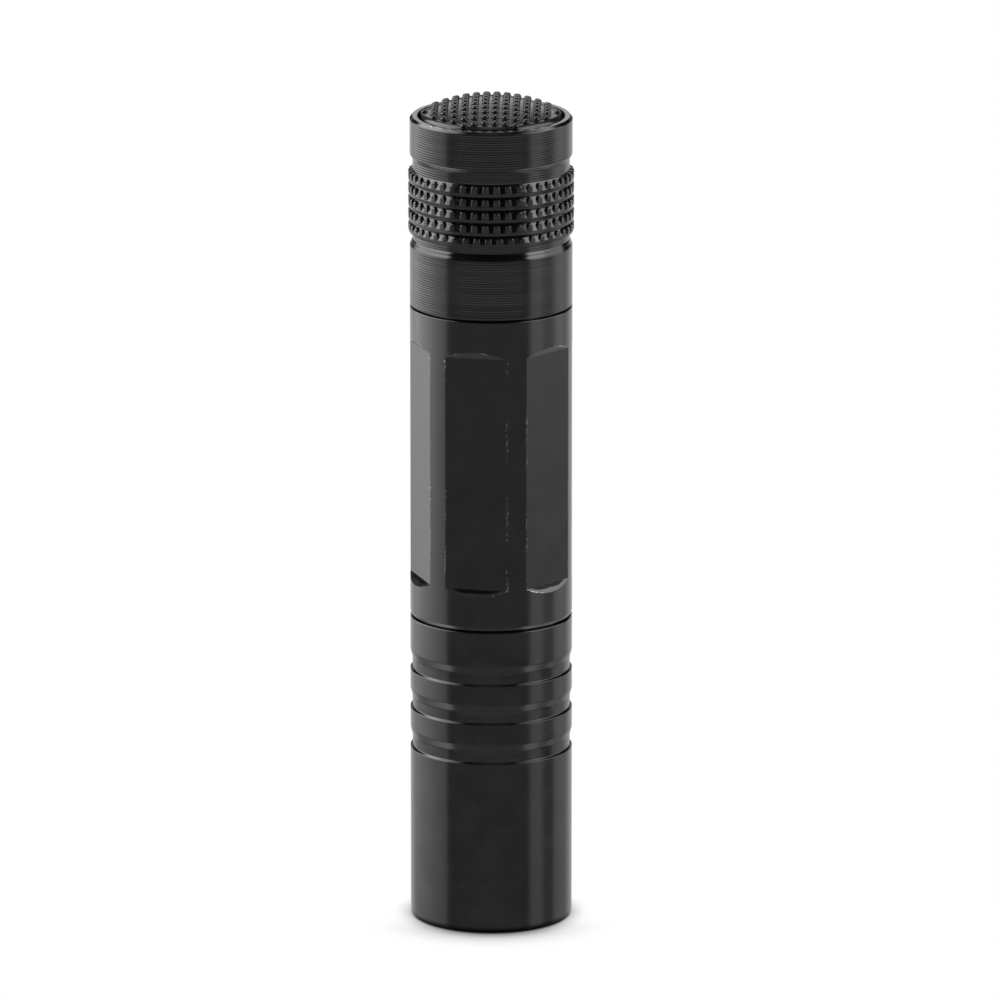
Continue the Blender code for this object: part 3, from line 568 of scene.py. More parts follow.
CAP_BLACK = black_anodised("black anodised cap", 0.27, 0.013, rim=True)
BARREL_BLACK = black_anodised("black anodised barrel", 0.16, 0.0008, flats=True)
# The head's finish has painted shade along its lowest edge, where it stands
HEAD_BLACK = black_anodised("black anodised head", 0.16, 0.0009, foot=True)
FINISHES = {
    "boot_rubber": rubber("boot rubber", (0.012, 0.012, 0.015), (0.018, 0.017, 0.019), 0.15, 0.2),
    "ring_rubber": rubber("ring rubber", (0.012, 0.012, 0.012), (0.018, 0.018, 0.018), 0.42, 0.1),
    "window_clear": window_clear(),
    "cup_bright": bare_metal("polished cup", (0.93, 0.93, 0.93), (0.88, 0.88, 0.88), 0.08, 0.5, 0.0002),
    "bare_aluminium": bare_metal("bare aluminium", (0.75, 0.75, 0.76), (0.66, 0.66, 0.66), 0.28, 0.18, 0.002),
    "brass": bare_metal("turned brass", (0.78, 0.6, 0.3), (0.66, 0.48, 0.22), 0.26, 0.2, 0.002),
    "spring_wire": bare_metal("nickel plated wire", (0.74, 0.72, 0.68), (0.62, 0.6, 0.56), 0.22, 0.1, 0.0005),
    "cell_metal": bare_metal("nickel plated steel", (0.7, 0.69, 0.67), (0.6, 0.59, 0.57), 0.26, 0.3, 0.001),
    "plastic_black": moulded("black plastic", (0.018, 0.018, 0.019), (0.026, 0.026, 0.027), 0.42),
    "plastic_white": moulded("white plastic", (0.78, 0.78, 0.75), (0.7, 0.7, 0.67), 0.4),
    "board_green": circuit_board("green board", (0.02, 0.13, 0.06), (0.04, 0.2, 0.08), 0.4),
    "board_white": circuit_board("white board", (0.82, 0.82, 0.8), (0.74, 0.74, 0.71), 0.35),
    "ceramic_white": moulded("white ceramic", (0.85, 0.85, 0.82), (0.78, 0.78, 0.75), 0.35, 0.08),
    "phosphor": moulded(
        "phosphor under silicone", (0.9, 0.78, 0.2), (0.85, 0.66, 0.1), 0.18, 0.06, Coat_Weight=0.8
    ),
    "coil_core": moulded("coil core", (0.05, 0.05, 0.054), (0.08, 0.078, 0.08), 0.6, 0.1),
    "wire_red": moulded("red wire", (0.5, 0.025, 0.018), (0.4, 0.02, 0.015), 0.4),
    "wire_black": moulded("black wire", (0.018, 0.018, 0.018), (0.03, 0.03, 0.03), 0.4),
    "cell_print": cell_sleeve_print(),
}


# Mesh helpers
def filleted(corners, steps=4):
    """A closed outline of (radius, height) with a fillet arc at each corner of (radius, height, fillet)."""
    outline = []
    for n, (radius, height, fillet) in enumerate(corners):
        here = Vector((radius, height))
        if not fillet:
            outline.append(tuple(here))
            continue
        before = (Vector(corners[n - 1][:2]) - here).normalized()
        after = (Vector(corners[(n + 1) % len(corners)][:2]) - here).normalized()
        half = before.angle(after) / 2
        centre = here + (before + after).normalized() * (fillet / math.sin(half))
        reach = fillet / math.tan(half)
        start = here + before * reach - centre
        end = here + after * reach - centre
        turn = start.angle(end)
        for step in range(steps + 1):
            share = step / steps
            along = start * math.sin((1 - share) * turn) + end * math.sin(share * turn)
            outline.append(tuple(centre + along / math.sin(turn)))
    return outline


def held(outline, near=0.04, closed=True):
    """Add rows close to both ends of each long straight stretch, so that its shading stays straight."""
    rows = []
    count = len(outline)
    for n, (radius, height) in enumerate(outline):
        rows.append((radius, height))
        if n == count - 1 and not closed:
            break
        after = outline[(n + 1) % count]
        gap = Vector(after) - Vector((radius, height))
        if gap.length > 6 * near:
            rows.append(tuple(Vector((radius, height)) + gap.normalized() * near))
            rows.append(tuple(Vector(after) - gap.normalized() * near))
    return rows


def round_place(radius, height, angle):
    """A place in metres, from a radius and a height in millimetres and an angle."""
    return radius * MM * math.cos(angle), radius * MM * math.sin(angle), height * MM


def revolved(outline, sides, closed=True):
    """Turn an outline of (radius, height) round the Z axis."""
    bm = bmesh.new()
    grid = []
    for radius, height in held(outline, closed=closed):
        angles = [2 * math.pi * n / sides for n in range(sides)]
        grid.append([bm.verts.new(round_place(radius, height, angle)) for angle in angles])
    rows = len(grid) if closed else len(grid) - 1
    for row in range(rows):
        upper, lower = grid[row], grid[(row + 1) % len(grid)]
        for n in range(sides):
            bm.faces.new((upper[n - 1], lower[n - 1], lower[n], upper[n]))
    bmesh.ops.remove_doubles(bm, verts=bm.verts, dist=1e-7)
    return bm


def add_object(name, data):
    """A new object in the scene."""
    made = bpy.data.objects.new(name, data)
    bpy.context.scene.collection.objects.link(made)
    return made


def finish_mesh(mesh, material, sharp_deg):
    """Smooth round faces, sharp edges and the piece's finish."""
    mesh.shade_smooth()
    mesh.set_sharp_from_angle(angle=math.radians(sharp_deg))
    mesh.materials.clear()
    mesh.materials.append(material)


def add_piece(name, bm, material, sharp_deg=30.0, outward=True):
    """A new piece from a bmesh, with its faces pointing out."""
    if outward:
        bmesh.ops.recalc_face_normals(bm, faces=bm.faces)
    mesh = bpy.data.meshes.new(name)
    bm.to_mesh(mesh)
    bm.free()
    finish_mesh(mesh, material, sharp_deg)
    return add_object(name, mesh)


def keep_result(piece, step):
    """Keep what a modifier makes of a piece as its plain mesh, and drop the modifier."""
    bpy.context.view_layer.update()
    before = piece.data
    done = bpy.data.meshes.new_from_object(piece.evaluated_get(bpy.context.evaluated_depsgraph_get()))
    piece.modifiers.remove(step)
    piece.data = done
    done.name = before.name
    bpy.data.meshes.remove(before)


def made_with(name, tree, inputs, material, start=None, sharp_deg=30.0):
    """What a geometry tree makes of a start mesh, with the tree's inputs set by name."""
    mesh = bpy.data.meshes.new(name)
    if start is not None:
        start.to_mesh(mesh)
        start.free()
    made = add_object(name, mesh)
    step = made.modifiers.new("shape", "NODES")
    step.node_group = tree
    inputs = {**inputs, "Material": material}
    for item in tree.interface.items_tree:
        if item.item_type == "SOCKET" and item.in_out == "INPUT" and item.name in inputs:
            step[item.identifier] = inputs[item.name]
    keep_result(made, step)
    bm = bmesh.new()
    bm.from_mesh(made.data)
    bmesh.ops.recalc_face_normals(bm, faces=bm.faces)
    bm.to_mesh(made.data)
    bm.free()
    finish_mesh(made.data, material, sharp_deg)
    return made


def joined(name, pieces, material, sharp_deg=30.0):
    """Several pieces of one body made one mesh."""
    bm = bmesh.new()
    for piece in pieces:
        bm.from_mesh(piece.data)
        bpy.data.objects.remove(piece, do_unlink=True)
    return add_piece(name, bm, material, sharp_deg, outward=False)


def put_on(piece, body, slot, *nodes):
    """Place a finished piece on its body, in the stead of its CAD nodes."""
    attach(piece, body)
    if nodes:
        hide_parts(*nodes)
    return piece


# Geometry trees
def paint(geometry, given, result):
    """End a geometry tree by setting its material."""
    inputs = {"Geometry": geometry, "Material": given["Material"]}
    feed(result["Geometry"], output(geometry.tree, "GeometryNodeSetMaterial", inputs))


def make_repeat_round():
    """Copies of a wedge round the Z axis, welded where they meet."""
    inputs = {"Wedge": "Geometry", "Count": 6, "Weld": 1e-7}
    tree, given, result = geometry_group("repeat round", inputs)
    turn = output(tree, "GeometryNodeInputIndex") * (2 * math.pi / given["Count"])
    copies = output(tree, "GeometryNodeInstanceOnPoints", {
        "Points": output(tree, "GeometryNodePoints", {"Count": given["Count"]}),
        "Instance": given["Wedge"],
        "Rotation": output(tree, "FunctionNodeEulerToRotation", {0: along_z(turn)}),
    })
    solid = output(tree, "GeometryNodeRealizeInstances", {0: copies})
    welded = output(tree, "GeometryNodeMergeByDistance", {"Geometry": solid, "Distance": given["Weld"]})
    paint(welded, given, result)
    return tree


def make_dome_dots():
    """A square grid of dots standing square on a dome, within a round field."""
    inputs = {"Dot": "Geometry", "Pitch": 1.0, "Columns": 14, "Rows": 13, "Field radius": 7.0,
              "Dome radius": 17.0, "Dome top": 90.0, "Turn": 0.0}
    tree, given, result = geometry_group("dome dots", inputs)
    width, depth = [given["Pitch"] * (given[name] - 1.0) for name in ("Columns", "Rows")]
    sizes = {"Size X": width, "Size Y": depth, "Vertices X": given["Columns"], "Vertices Y": given["Rows"]}
    grid = output(tree, "GeometryNodeMeshGrid", sizes)
    place = output(tree, "GeometryNodeInputPosition")
    distance = output(tree, "ShaderNodeVectorMath", {0: place}, "Value", operation="LENGTH")
    inputs = {"A": distance, "B": given["Field radius"]}
    outside = output(tree, "FunctionNodeCompare", inputs, operation="GREATER_THAN")
    field = output(tree, "GeometryNodeDeleteGeometry", {"Geometry": grid, "Selection": outside})
    fall = maths("POWER", given["Dome radius"], 2.0) - maths("POWER", distance, 2.0)
    height = given["Dome top"] + (maths("SQRT", fall) - given["Dome radius"])
    lifted = output(tree, "GeometryNodeSetPosition", {"Geometry": field, "Offset": along_z(height)})
    centre = along_z(given["Dome top"] - given["Dome radius"])
    outwards = output(tree, "ShaderNodeVectorMath", {0: place, 1: centre}, operation="SUBTRACT")
    upright = output(tree, "FunctionNodeAlignRotationToVector", {"Vector": outwards}, axis="Z")
    inputs = {"Points": lifted, "Instance": given["Dot"], "Rotation": upright}
    copies = output(tree, "GeometryNodeInstanceOnPoints", inputs)
    solid = output(tree, "GeometryNodeRealizeInstances", {0: copies})
    inputs = {"Geometry": solid, "Rotation": along_z(given["Turn"])}
    paint(output(tree, "GeometryNodeTransform", inputs), given, result)
    return tree


def make_wound_wire():
    """A wire wound round the Z axis, from one radius to another, with closed ends."""
    inputs = {"Foot radius": 0.004, "Top radius": 0.002, "Foot height": 0.0, "Rise": 0.003, "Turns": 3.0,
              "Steps per turn": 32, "Wire radius": 0.0003, "Wire sides": 12}
    tree, given, result = geometry_group("wound wire", inputs)
    path = output(tree, "GeometryNodeCurveSpiral", {
        "Resolution": given["Steps per turn"], "Rotations": given["Turns"], "Height": given["Rise"],
        "Start Radius": given["Foot radius"], "End Radius": given["Top radius"],
    })
    upright = add_node(tree, "GeometryNodeSetCurveNormal", {"Curve": path})
    if hasattr(upright, "mode"):
        upright.mode = "Z_UP"
    inputs = {"Resolution": given["Wire sides"], "Radius": given["Wire radius"]}
    section = output(tree, "GeometryNodeCurvePrimitiveCircle", inputs)
    inputs = {"Curve": Value(upright.outputs[0]), "Profile Curve": section, "Fill Caps": True}
    tube = output(tree, "GeometryNodeCurveToMesh", inputs)
    inputs = {"Geometry": tube, "Translation": along_z(given["Foot height"])}
    placed = output(tree, "GeometryNodeTransform", inputs)
    paint(output(tree, "GeometryNodeRealizeInstances", {0: placed}), given, result)
    return tree


REPEAT_ROUND = make_repeat_round()
DOME_DOTS = make_dome_dots()
WOUND_WIRE = make_wound_wire()


# Tail cap
def ring_place(ring):
    """Height of a ring's top, and the height of its slope."""
    cut = LAST_ROW_CUT if ring == KNURL_ROWS - 1 else 0.0
    return KNURL_TOP - ring * KNURL_PITCH, KNURL_SLOPE - cut


def ring_corners():
    """Corners of the outline of the five rings without their teeth, from the top down."""
    corners = []
    for ring in range(KNURL_ROWS):
        top, slope = ring_place(ring)
        foot = top - slope - KNURL_BAND
        corners += [(KNURL_VALLEY_R, top, 0.0), (KNURL_TIP_R, top - slope, KNURL_ROUND),
                    (KNURL_FOOT_R, foot, KNURL_ROUND), (KNURL_VALLEY_R + 0.05, foot - UNDERCUT + 0.02, 0.0)]
    return corners + [(NECKING_R, foot - UNDERCUT, 0.0)]


def add_tooth(bm, ring):
    """One tooth of a ring: a closed button with a rounded top, steep flanks and a rounded front edge."""
    top, slope = ring_place(ring)
    foot = top - slope - TOOTH_SUNK
    turn = TOOTH_TURN_DEG + (LAST_ROW_TURN_DEG if ring == KNURL_ROWS - 1 else 0.0)
    bevel = (1.0 - math.sqrt(0.5)) * TOOTH_EDGE
    levels = [(-TOOTH_FLARE, KNURL_VALLEY_R - TOOTH_ROOT), (0.0, KNURL_TIP_R - TOOTH_EDGE),
              (bevel, KNURL_TIP_R - bevel), (TOOTH_EDGE, KNURL_TIP_R), (TOOTH_EDGE + 0.02, KNURL_TIP_R)]
    loops = []
    for inset, out in levels:
        high = top - TOOTH_START - inset
        side, crown, corner = TOOTH_FOOT_HALF - inset, TOOTH_TOP_HALF - inset, TOOTH_CORNER - inset
        corners = [(-side, foot, 0.0), (-crown, high, corner), (crown, high, corner), (side, foot, 0.0)]
        loops.append([
            bm.verts.new(round_place(out, height, math.radians(turn) + across / KNURL_TIP_R))
            for across, height in filleted(corners)
        ])
    for inner, outer in zip(loops, loops[1:]):
        for n in range(len(inner)):
            bm.faces.new((inner[n - 1], inner[n], outer[n], outer[n - 1]))
    bm.faces.new(loops[0])
    bm.faces.new(loops[-1])


def make_tail_cap():
    """The turned cap with its five rings, and their teeth: one of each ring, repeated round the axis."""
    body = filleted([
        (RIM_R, BEAD_GROOVE[1], 0.0), (RIM_R, CAP_TOP, 0.06), (BODY_R - RIM_CHAMFER, CAP_TOP, 0.03),
        (BODY_R, CAP_TOP - RIM_CHAMFER, EDGE_ROUND), (BODY_R, GROOVE_TOP, 0.35),
        (GROOVE_R + 0.02, GROOVE_FOOT, 0.5), *ring_corners(), (NECKING_R, SHOULDER_TOP, 0.0),
        (BODY_R, SHOULDER_BOTTOM, 0.04), (BODY_R, CAP_BOTTOM, EDGE_ROUND),
        (SOCKET_R, CAP_BOTTOM, 0.12), (SOCKET_R, CAP_STEP, 0.0), (CAP_BORE_R, CAP_STEP, 0.0),
        (CAP_BORE_R, BOARD_STEP, 0.0), (SWITCH_BORE_R, BOARD_STEP, 0.0), (SWITCH_BORE_R, SHELF[0], 0.0),
        (SHELF_R, SHELF[0], 0.0), (SHELF_R, SHELF[1], 0.0), (RIM_R, SHELF[1], 0.0),
        *[(radius, BEAD_GROOVE[0], 0.0) for radius in (RIM_R, BEAD_GROOVE_R)],
        (BEAD_GROOVE_R, BEAD_GROOVE[1], 0.0),
    ])
    turned = add_piece("cap_body", revolved(body, FINE_SIDES), CAP_BLACK)
    column = bmesh.new()
    for ring in range(KNURL_ROWS):
        add_tooth(column, ring)
    teeth = made_with("cap_teeth", REPEAT_ROUND, {"Count": TEETH}, CAP_BLACK, column, sharp_deg=50.0)
    piece = joined("cap_shell", [turned, teeth], CAP_BLACK, 50.0)
    put_on(piece, "cap", "body_black", "tail_cap")


# Rubber boot
def dome_height(radius):
    """Height of the boot's skin: a flat dome whose edge turns down into the rim."""
    if radius <= DOME_R:
        return DOME_TOP - DOME_SPHERE_R + math.sqrt(DOME_SPHERE_R ** 2 - radius ** 2)
    share = min(1.0, (radius - DOME_R) / (BOOT_EDGE_R - DOME_R))
    drop = dome_height(DOME_R) - BOOT_EDGE_Z
    return dome_height(DOME_R) - drop * (1.0 - math.sqrt(1.0 - share ** 2))


def make_boot():
    """The dome, its bead and its boss, with a grid of dots on the skin."""
    low, _, bead_r = span("switch_boot")
    steps = 14
    skin = [(DOME_R * n / steps, dome_height(DOME_R * n / steps)) for n in range(steps + 1)]
    for n in range(1, 9):
        radius = DOME_R + (BOOT_EDGE_R - DOME_R) * math.sin(math.pi / 2 * n / 8)
        skin.append((radius, dome_height(radius)))
    # The bead, the foot and the hollow inside, in to the boss
    under = [(BOOT_EDGE_R, 90.25), (bead_r, 90.0), (bead_r, 89.45), (8.05, 89.3), (8.05, low), (6.9, low),
             (6.9, 90.2)]
    under += [(r, dome_height(r) - BOOT_WALL) for r in (6.5, 5.6, 4.6, 3.6, 2.4, BOOT_BOSS_R)]
    under += [(BOOT_BOSS_R, BOOT_BOSS_FOOT), (0.0, BOOT_BOSS_FOOT)]
    dome = add_piece("boot_dome", revolved(skin + under, BOOT_SIDES, closed=False), FINISHES["boot_rubber"])

    dot = [(0.0, -DOT_SUNK), (DOT_R + DOT_FLARE, -DOT_SUNK), (DOT_R + DOT_FLARE, 0.0), (DOT_R + 0.015, 0.04),
           (DOT_R, 0.1)]
    for n in range(5):
        angle = math.pi / 2 * n / 4
        radius = DOT_R + DOT_ROUND * (math.cos(angle) - 1.0)
        dot.append((radius, DOT_HEIGHT + DOT_ROUND * (math.sin(angle) - 1.0)))
    dot = revolved(dot + [(0.0, DOT_HEIGHT + DOT_CROWN)], 16, closed=False)
    sizes = {"Pitch": DOT_PITCH * MM, "Columns": DOT_COLUMNS, "Rows": DOT_ROWS, "Dome top": DOME_TOP * MM,
             "Dome radius": DOME_SPHERE_R * MM, "Field radius": DOT_FIELD_R * MM,
             "Turn": math.radians(BOOT_TURN_DEG)}
    dots = made_with("boot_dots", DOME_DOTS, sizes, FINISHES["boot_rubber"], dot)
    piece = joined("button_boot", [dome, dots], FINISHES["boot_rubber"], 40.0)
    put_on(piece, "cap", "boot_rubber", "switch_boot")
    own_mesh(piece)


# Barrel
def flat_cutters():
    """Six solids, each the sweep of a milling cutter along one flat, with its sloping ends."""
    outside = BODY_R + 1.0
    flare = RUNOUT * (outside - FLAT_APOTHEM) / (BODY_R - FLAT_APOTHEM)
    corners = [(FLAT_APOTHEM, FLAT_TOP), (FLAT_APOTHEM, FLAT_BOTTOM), (outside, FLAT_BOTTOM - flare),
               (outside, FLAT_TOP + flare)]
    cuts = bmesh.new()
    for n in range(FLAT_COUNT):
        turn = Matrix.Rotation(math.radians(360.0 / FLAT_COUNT * n - 90.0), 4, "Z")
        side = [cuts.verts.new(turn @ (Vector((r, -FLAT_CUT_HALF_WIDTH, z)) * MM)) for r, z in corners]
        grown = bmesh.ops.extrude_face_region(cuts, geom=[cuts.faces.new(side)])
        moved = [item for item in grown["geom"] if isinstance(item, bmesh.types.BMVert)]
        bmesh.ops.translate(cuts, verts=moved, vec=turn @ (Vector((0.0, 2 * FLAT_CUT_HALF_WIDTH, 0.0)) * MM))
    return add_piece("flat_cutters", cuts, BARREL_BLACK)


def wound(name, radii, foot, rise, turns, wire_r, steps, material, sharp_deg=30.0):
    """A wire wound round the axis between two radii, with so many steps per turn and round the wire."""
    sizes = {"Foot radius": radii[0] * MM, "Top radius": radii[1] * MM, "Foot height": foot * MM,
             "Rise": rise * MM, "Turns": turns, "Steps per turn": steps[0], "Wire radius": wire_r * MM,
             "Wire sides": steps[1]}
    return made_with(name, WOUND_WIRE, sizes, material, sharp_deg=sharp_deg)


def make_thread(name, shoulder, direction):
    """A screw thread on a neck, as a square wire wound past the seal towards the neck's end."""
    start = SEAL_OFFSET + THREAD_START
    rise = NECK_LENGTH - start - THREAD_END
    foot = shoulder + start if direction > 0 else shoulder - start - rise
    wire_r = NECK_R - THREAD_ROOT_R - 0.01
    radii = (THREAD_ROOT_R, THREAD_ROOT_R)
    return wound(name, radii, foot, rise, rise / THREAD_PITCH, wire_r, THREAD_STEPS, BARREL_BLACK)


def make_barrel():
    """The tube with its threaded necks, seal grooves and six milled flats."""
    def neck(shoulder, sign):
        """From a shoulder to a neck's end: shoulder face, seal groove, threaded length."""
        middle = shoulder + sign * SEAL_OFFSET
        half = sign * SEAL_GROOVE_WIDTH / 2
        end = shoulder + sign * NECK_LENGTH
        return [(NECK_R, shoulder, 0.0), (NECK_R, middle - half, 0.05), (SEAL_GROOVE_R, middle - half, 0.05),
                (SEAL_GROOVE_R, middle + half, 0.05), (NECK_R, middle + half, 0.05),
                (NECK_R, middle + half + sign * 0.4, 0.0), (THREAD_ROOT_R, middle + half + sign * 0.7, 0.0),
                (THREAD_ROOT_R, end - sign * 0.2, 0.0), (THREAD_ROOT_R - 0.2, end, 0.0)]
    corners = list(reversed(neck(BARREL_TOP, 1)))
    corners += [(BODY_R, BARREL_TOP, 0.09), (BODY_R, BARREL_BOTTOM + 0.35, 0.0),
                (BODY_R - 0.12, BARREL_BOTTOM, 0.04)]
    corners += neck(BARREL_BOTTOM, -1)
    corners += [(BORE_R, TUBE_BOTTOM, 0.0), (BORE_R, TUBE_TOP, 0.0)]
    tube = add_piece("barrel_tube", revolved(filleted(corners), BARREL_SIDES), BARREL_BLACK, 18.0)
    cutters = flat_cutters()
    cut = tube.modifiers.new("flats", "BOOLEAN")
    cut.solver = "EXACT"
    cut.object = cutters
    keep_result(tube, cut)
    bpy.data.objects.remove(cutters, do_unlink=True)
    threads = [make_thread("tail_thread", BARREL_TOP, 1), make_thread("head_thread", BARREL_BOTTOM, -1)]
    piece = joined("barrel_tube_shell", [tube] + threads, BARREL_BLACK, 18.0)
    put_on(piece, "barrel", "body_black", "battery_tube")


def make_seals():
    """The two rubber rings on the necks."""
    for node in ("tail_o_ring", "head_o_ring"):
        low, high, outer = span(node)
        wire = (high - low) / 2
        angles = [2 * math.pi * n / 16 for n in range(16)]
        outline = [(outer - wire + wire * math.cos(a), (low + high) / 2 + wire * math.sin(a)) for a in angles]
        piece = add_piece(f"{node}_round", revolved(outline, INNER_SIDES), FINISHES["ring_rubber"], 60.0)
        put_on(piece, "barrel", "ring_rubber", node)


# Head
def make_head():
    """The head: three shallow grooves with a sharp foot, a rounded front rim and the lip for the window."""
    deep = BODY_R - HEAD_GROOVE_DEPTH
    corners = [(SOCKET_R, HEAD_TOP, 0.1), (BODY_R, HEAD_TOP, 0.09)]
    for foot in HEAD_GROOVE_FEET:
        bend = foot + HEAD_GROOVE_BEND * HEAD_GROOVE_WIDTH
        corners += [(BODY_R, foot + HEAD_GROOVE_WIDTH, 0.5), (deep + 0.02, bend, 0.9),
                    (deep, foot + HEAD_GROOVE_STEP, 0.06), (BODY_R, foot, 0.05)]
    corners += [(BODY_R, 0.0, RIM_ROUND), (HEAD_WINDOW_R + HEAD_WINDOW_CHAMFER, 0.0, 0.05),
                (HEAD_WINDOW_R, HEAD_WINDOW_CHAMFER, 0.05), (HEAD_WINDOW_R, HEAD_LIP, 0.0),
                (SOCKET_R, HEAD_LIP, 0.0)]
    piece = add_piece("head_barrel", revolved(filleted(corners, 6), FINE_SIDES), HEAD_BLACK, 32.0)
    put_on(piece, "head", "body_black", "head_shell")


# Behind the window
def make_fine(node, body, slot, corners, sides=INNER_SIDES, closed=True):
    """A finer turned piece in the stead of a CAD node."""
    piece = add_piece(f"{node}_turned", revolved(filleted(corners), sides, closed), FINISHES[slot])
    put_on(piece, body, slot, node)


def make_window():
    """The clear window with its polished edges, and the rubber ring that it presses on."""
    low, high, outer = span("lens")
    edge = 0.2
    corners = [(0.0, high, 0.0), (outer - edge, high, 0.05), (outer, high - edge, 0.05),
               (outer, low + edge, 0.05), (outer - edge, low, 0.05), (0.0, low, 0.0)]
    make_fine("lens", "head", "window_clear", corners, closed=False)
    low, high, outer = span("lens_seal")
    corners = [(r, z, 0.18) for r, z in ((HEAD_WINDOW_R + 0.05, high), (outer, high), (outer, low),
                                         (HEAD_WINDOW_R + 0.05, low))]
    make_fine("lens_seal", "head", "ring_rubber", corners)


def make_reflector():
    """The polished cup: a parabola inside, an even wall, a flat rim at the mouth and a collar at the LED."""
    mouth, back, rim_r = span("reflector")
    spread = (REFLECTOR_MOUTH_R ** 2 - REFLECTOR_HOLE_R ** 2) / (back - mouth)
    vertex = mouth + REFLECTOR_MOUTH_R ** 2 / spread
    steps = 24
    heights = [mouth + (back - mouth) * n / steps for n in range(steps + 1)]
    cup = [(math.sqrt(spread * (vertex - z)), z, 0.0) for z in heights]
    wall = [(r + REFLECTOR_WALL, z, 0.0) for r, z, _ in reversed(cup[4:-4])]
    rim_top = mouth + REFLECTOR_RIM
    corners = cup + [(REFLECTOR_COLLAR_R, back, 0.08)] + wall + [(rim_r, rim_top, 0.08), (rim_r, mouth, 0.08)]
    make_fine("reflector", "lamp", "cup_bright", corners, sides=160)


def make_led():
    """The clear drop of silicone over the yellow phosphor."""
    low, high, outer = span("led_dome")
    arc = [(outer * math.cos(math.pi / 2 * n / 12), high - (high - low) * math.sin(math.pi / 2 * n / 12), 0.0)
           for n in range(12)]
    make_fine("led_dome", "lamp", "phosphor", [(0.0, high, 0.0)] + arc + [(0.0, low, 0.0)], 64, closed=False)


# Pieces inside
def make_rings_and_discs():
    """Round pieces of the cell, each by its body, slot, inner radius or 0, and round of the edges."""
    rounds = {
        "cell_can": ("cell", "cell_metal", 0.0, 0.55),
        "cell_sleeve": ("cell", "cell_print", 7.0, 0.03),
        "cell_seal": ("cell", "plastic_black", 3.1, 0.08),
        "cell_positive_cap": ("cell", "cell_metal", 0.0, 0.25),
    }
    for node, (body, slot, inner, edge) in rounds.items():
        low, high, outer = span(node)
        upper = 0.0 if node == "cell_positive_cap" else edge
        corners = [(inner, high, 0.0), (outer, high, upper), (outer, low, edge), (inner, low, 0.0)]
        make_fine(node, body, slot, corners, closed=inner > 0.0)
    low, high, outer = span("cell_negative_plate")
    top_r, foot_r = 4.2, 4.8
    corners = [(0.0, high, 0.0), (top_r, high, 0.15), (foot_r, (low + high) / 2, 0.15), (outer, low, 0.0),
               (0.0, low, 0.0)]
    make_fine("cell_negative_plate", "cell", "cell_metal", corners, closed=False)


def make_springs():
    """The three wire springs, by body, radius at foot and top, radius of the wire, and turns."""
    springs = {
        "tail_spring": ("cap", 2.3, 4.4, 0.3, 2.75),
        "front_spring": ("lamp", 3.6, 1.9, 0.3, 2.75),
        "plunger_spring": ("cap", 1.75, 1.75, 0.15, 2.5),
    }
    for node, (body, foot_r, top_r, wire_r, turns) in springs.items():
        low, high, _ = span(node)
        rise = high - low - 2 * wire_r
        piece = wound(f"{node}_wire", (foot_r, top_r), low + wire_r, rise, turns, wire_r, SPRING_STEPS,
                      FINISHES["spring_wire"], 50.0)
        put_on(piece, body, "spring_wire", node)
        if node == "plunger_spring":
            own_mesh(piece)


def dress_cad_nodes():
    """The finish of each CAD node that stays."""
    finishes = dict(FINISHES)
    finishes["body_black"] = CAP_BLACK
    for entry in frame["record"]["materials"]:
        for name in entry.get("nodes", []):
            node = frame["nodes"].get(name)
            if node is not None:
                node.data.materials.clear()
                node.data.materials.append(finishes[entry["slot"]])


# Camera and studio
def direction(azimuth_deg, elevation_deg):
    """The unit vector from the torch towards a place round it."""
    azimuth, elevation = math.radians(azimuth_deg), math.radians(elevation_deg)
    level = math.cos(elevation)
    return Vector((math.sin(azimuth) * level, -math.cos(azimuth) * level, math.sin(elevation)))


def add_camera():
    """A long lens a good way off, level with the axis and looking a little down."""
    lens = bpy.data.cameras.new("camera")
    lens.lens = VIEW_LENS
    lens.sensor_width = 36.0
    lens.clip_start = 0.05
    lens.clip_end = 20.0
    camera = add_object("camera", lens)
    towards = direction(VIEW_AZIMUTH_DEG, VIEW_ELEVATION_DEG)
    turn = math.radians(VIEW_AZIMUTH_DEG)
    aim = Vector((math.cos(turn) * AIM_RIGHT, math.sin(turn) * AIM_RIGHT, AIM_HEIGHT))
    camera.location = (aim + towards * VIEW_DISTANCE) * MM
    camera.rotation_euler = towards.to_track_quat("Z", "Y").to_euler()
    bpy.context.scene.camera = camera


def make_softbox():
    """Light from one soft panel: its level within edges of azimuth and elevation, in degrees."""
    names = ("Azimuth", "Elevation", *PANEL_SIZES)
    tree, given, result = shader_group("softbox", dict.fromkeys(names, 0.0), "Light")

    def step(value, at, edge, sign):
        half = given[edge] * (0.5 * sign)
        return ramped(given[value], given[at] - half, given[at] + half)

    light = step("Azimuth", "Left", "Side edge", 1) * step("Azimuth", "Right", "Side edge", -1)
    light = light * step("Elevation", "Low", "Top edge", 1)
    light = light * step("Elevation", "High", "Top edge", -1)
    feed(result["Light"], light * given["Level"])
    return tree


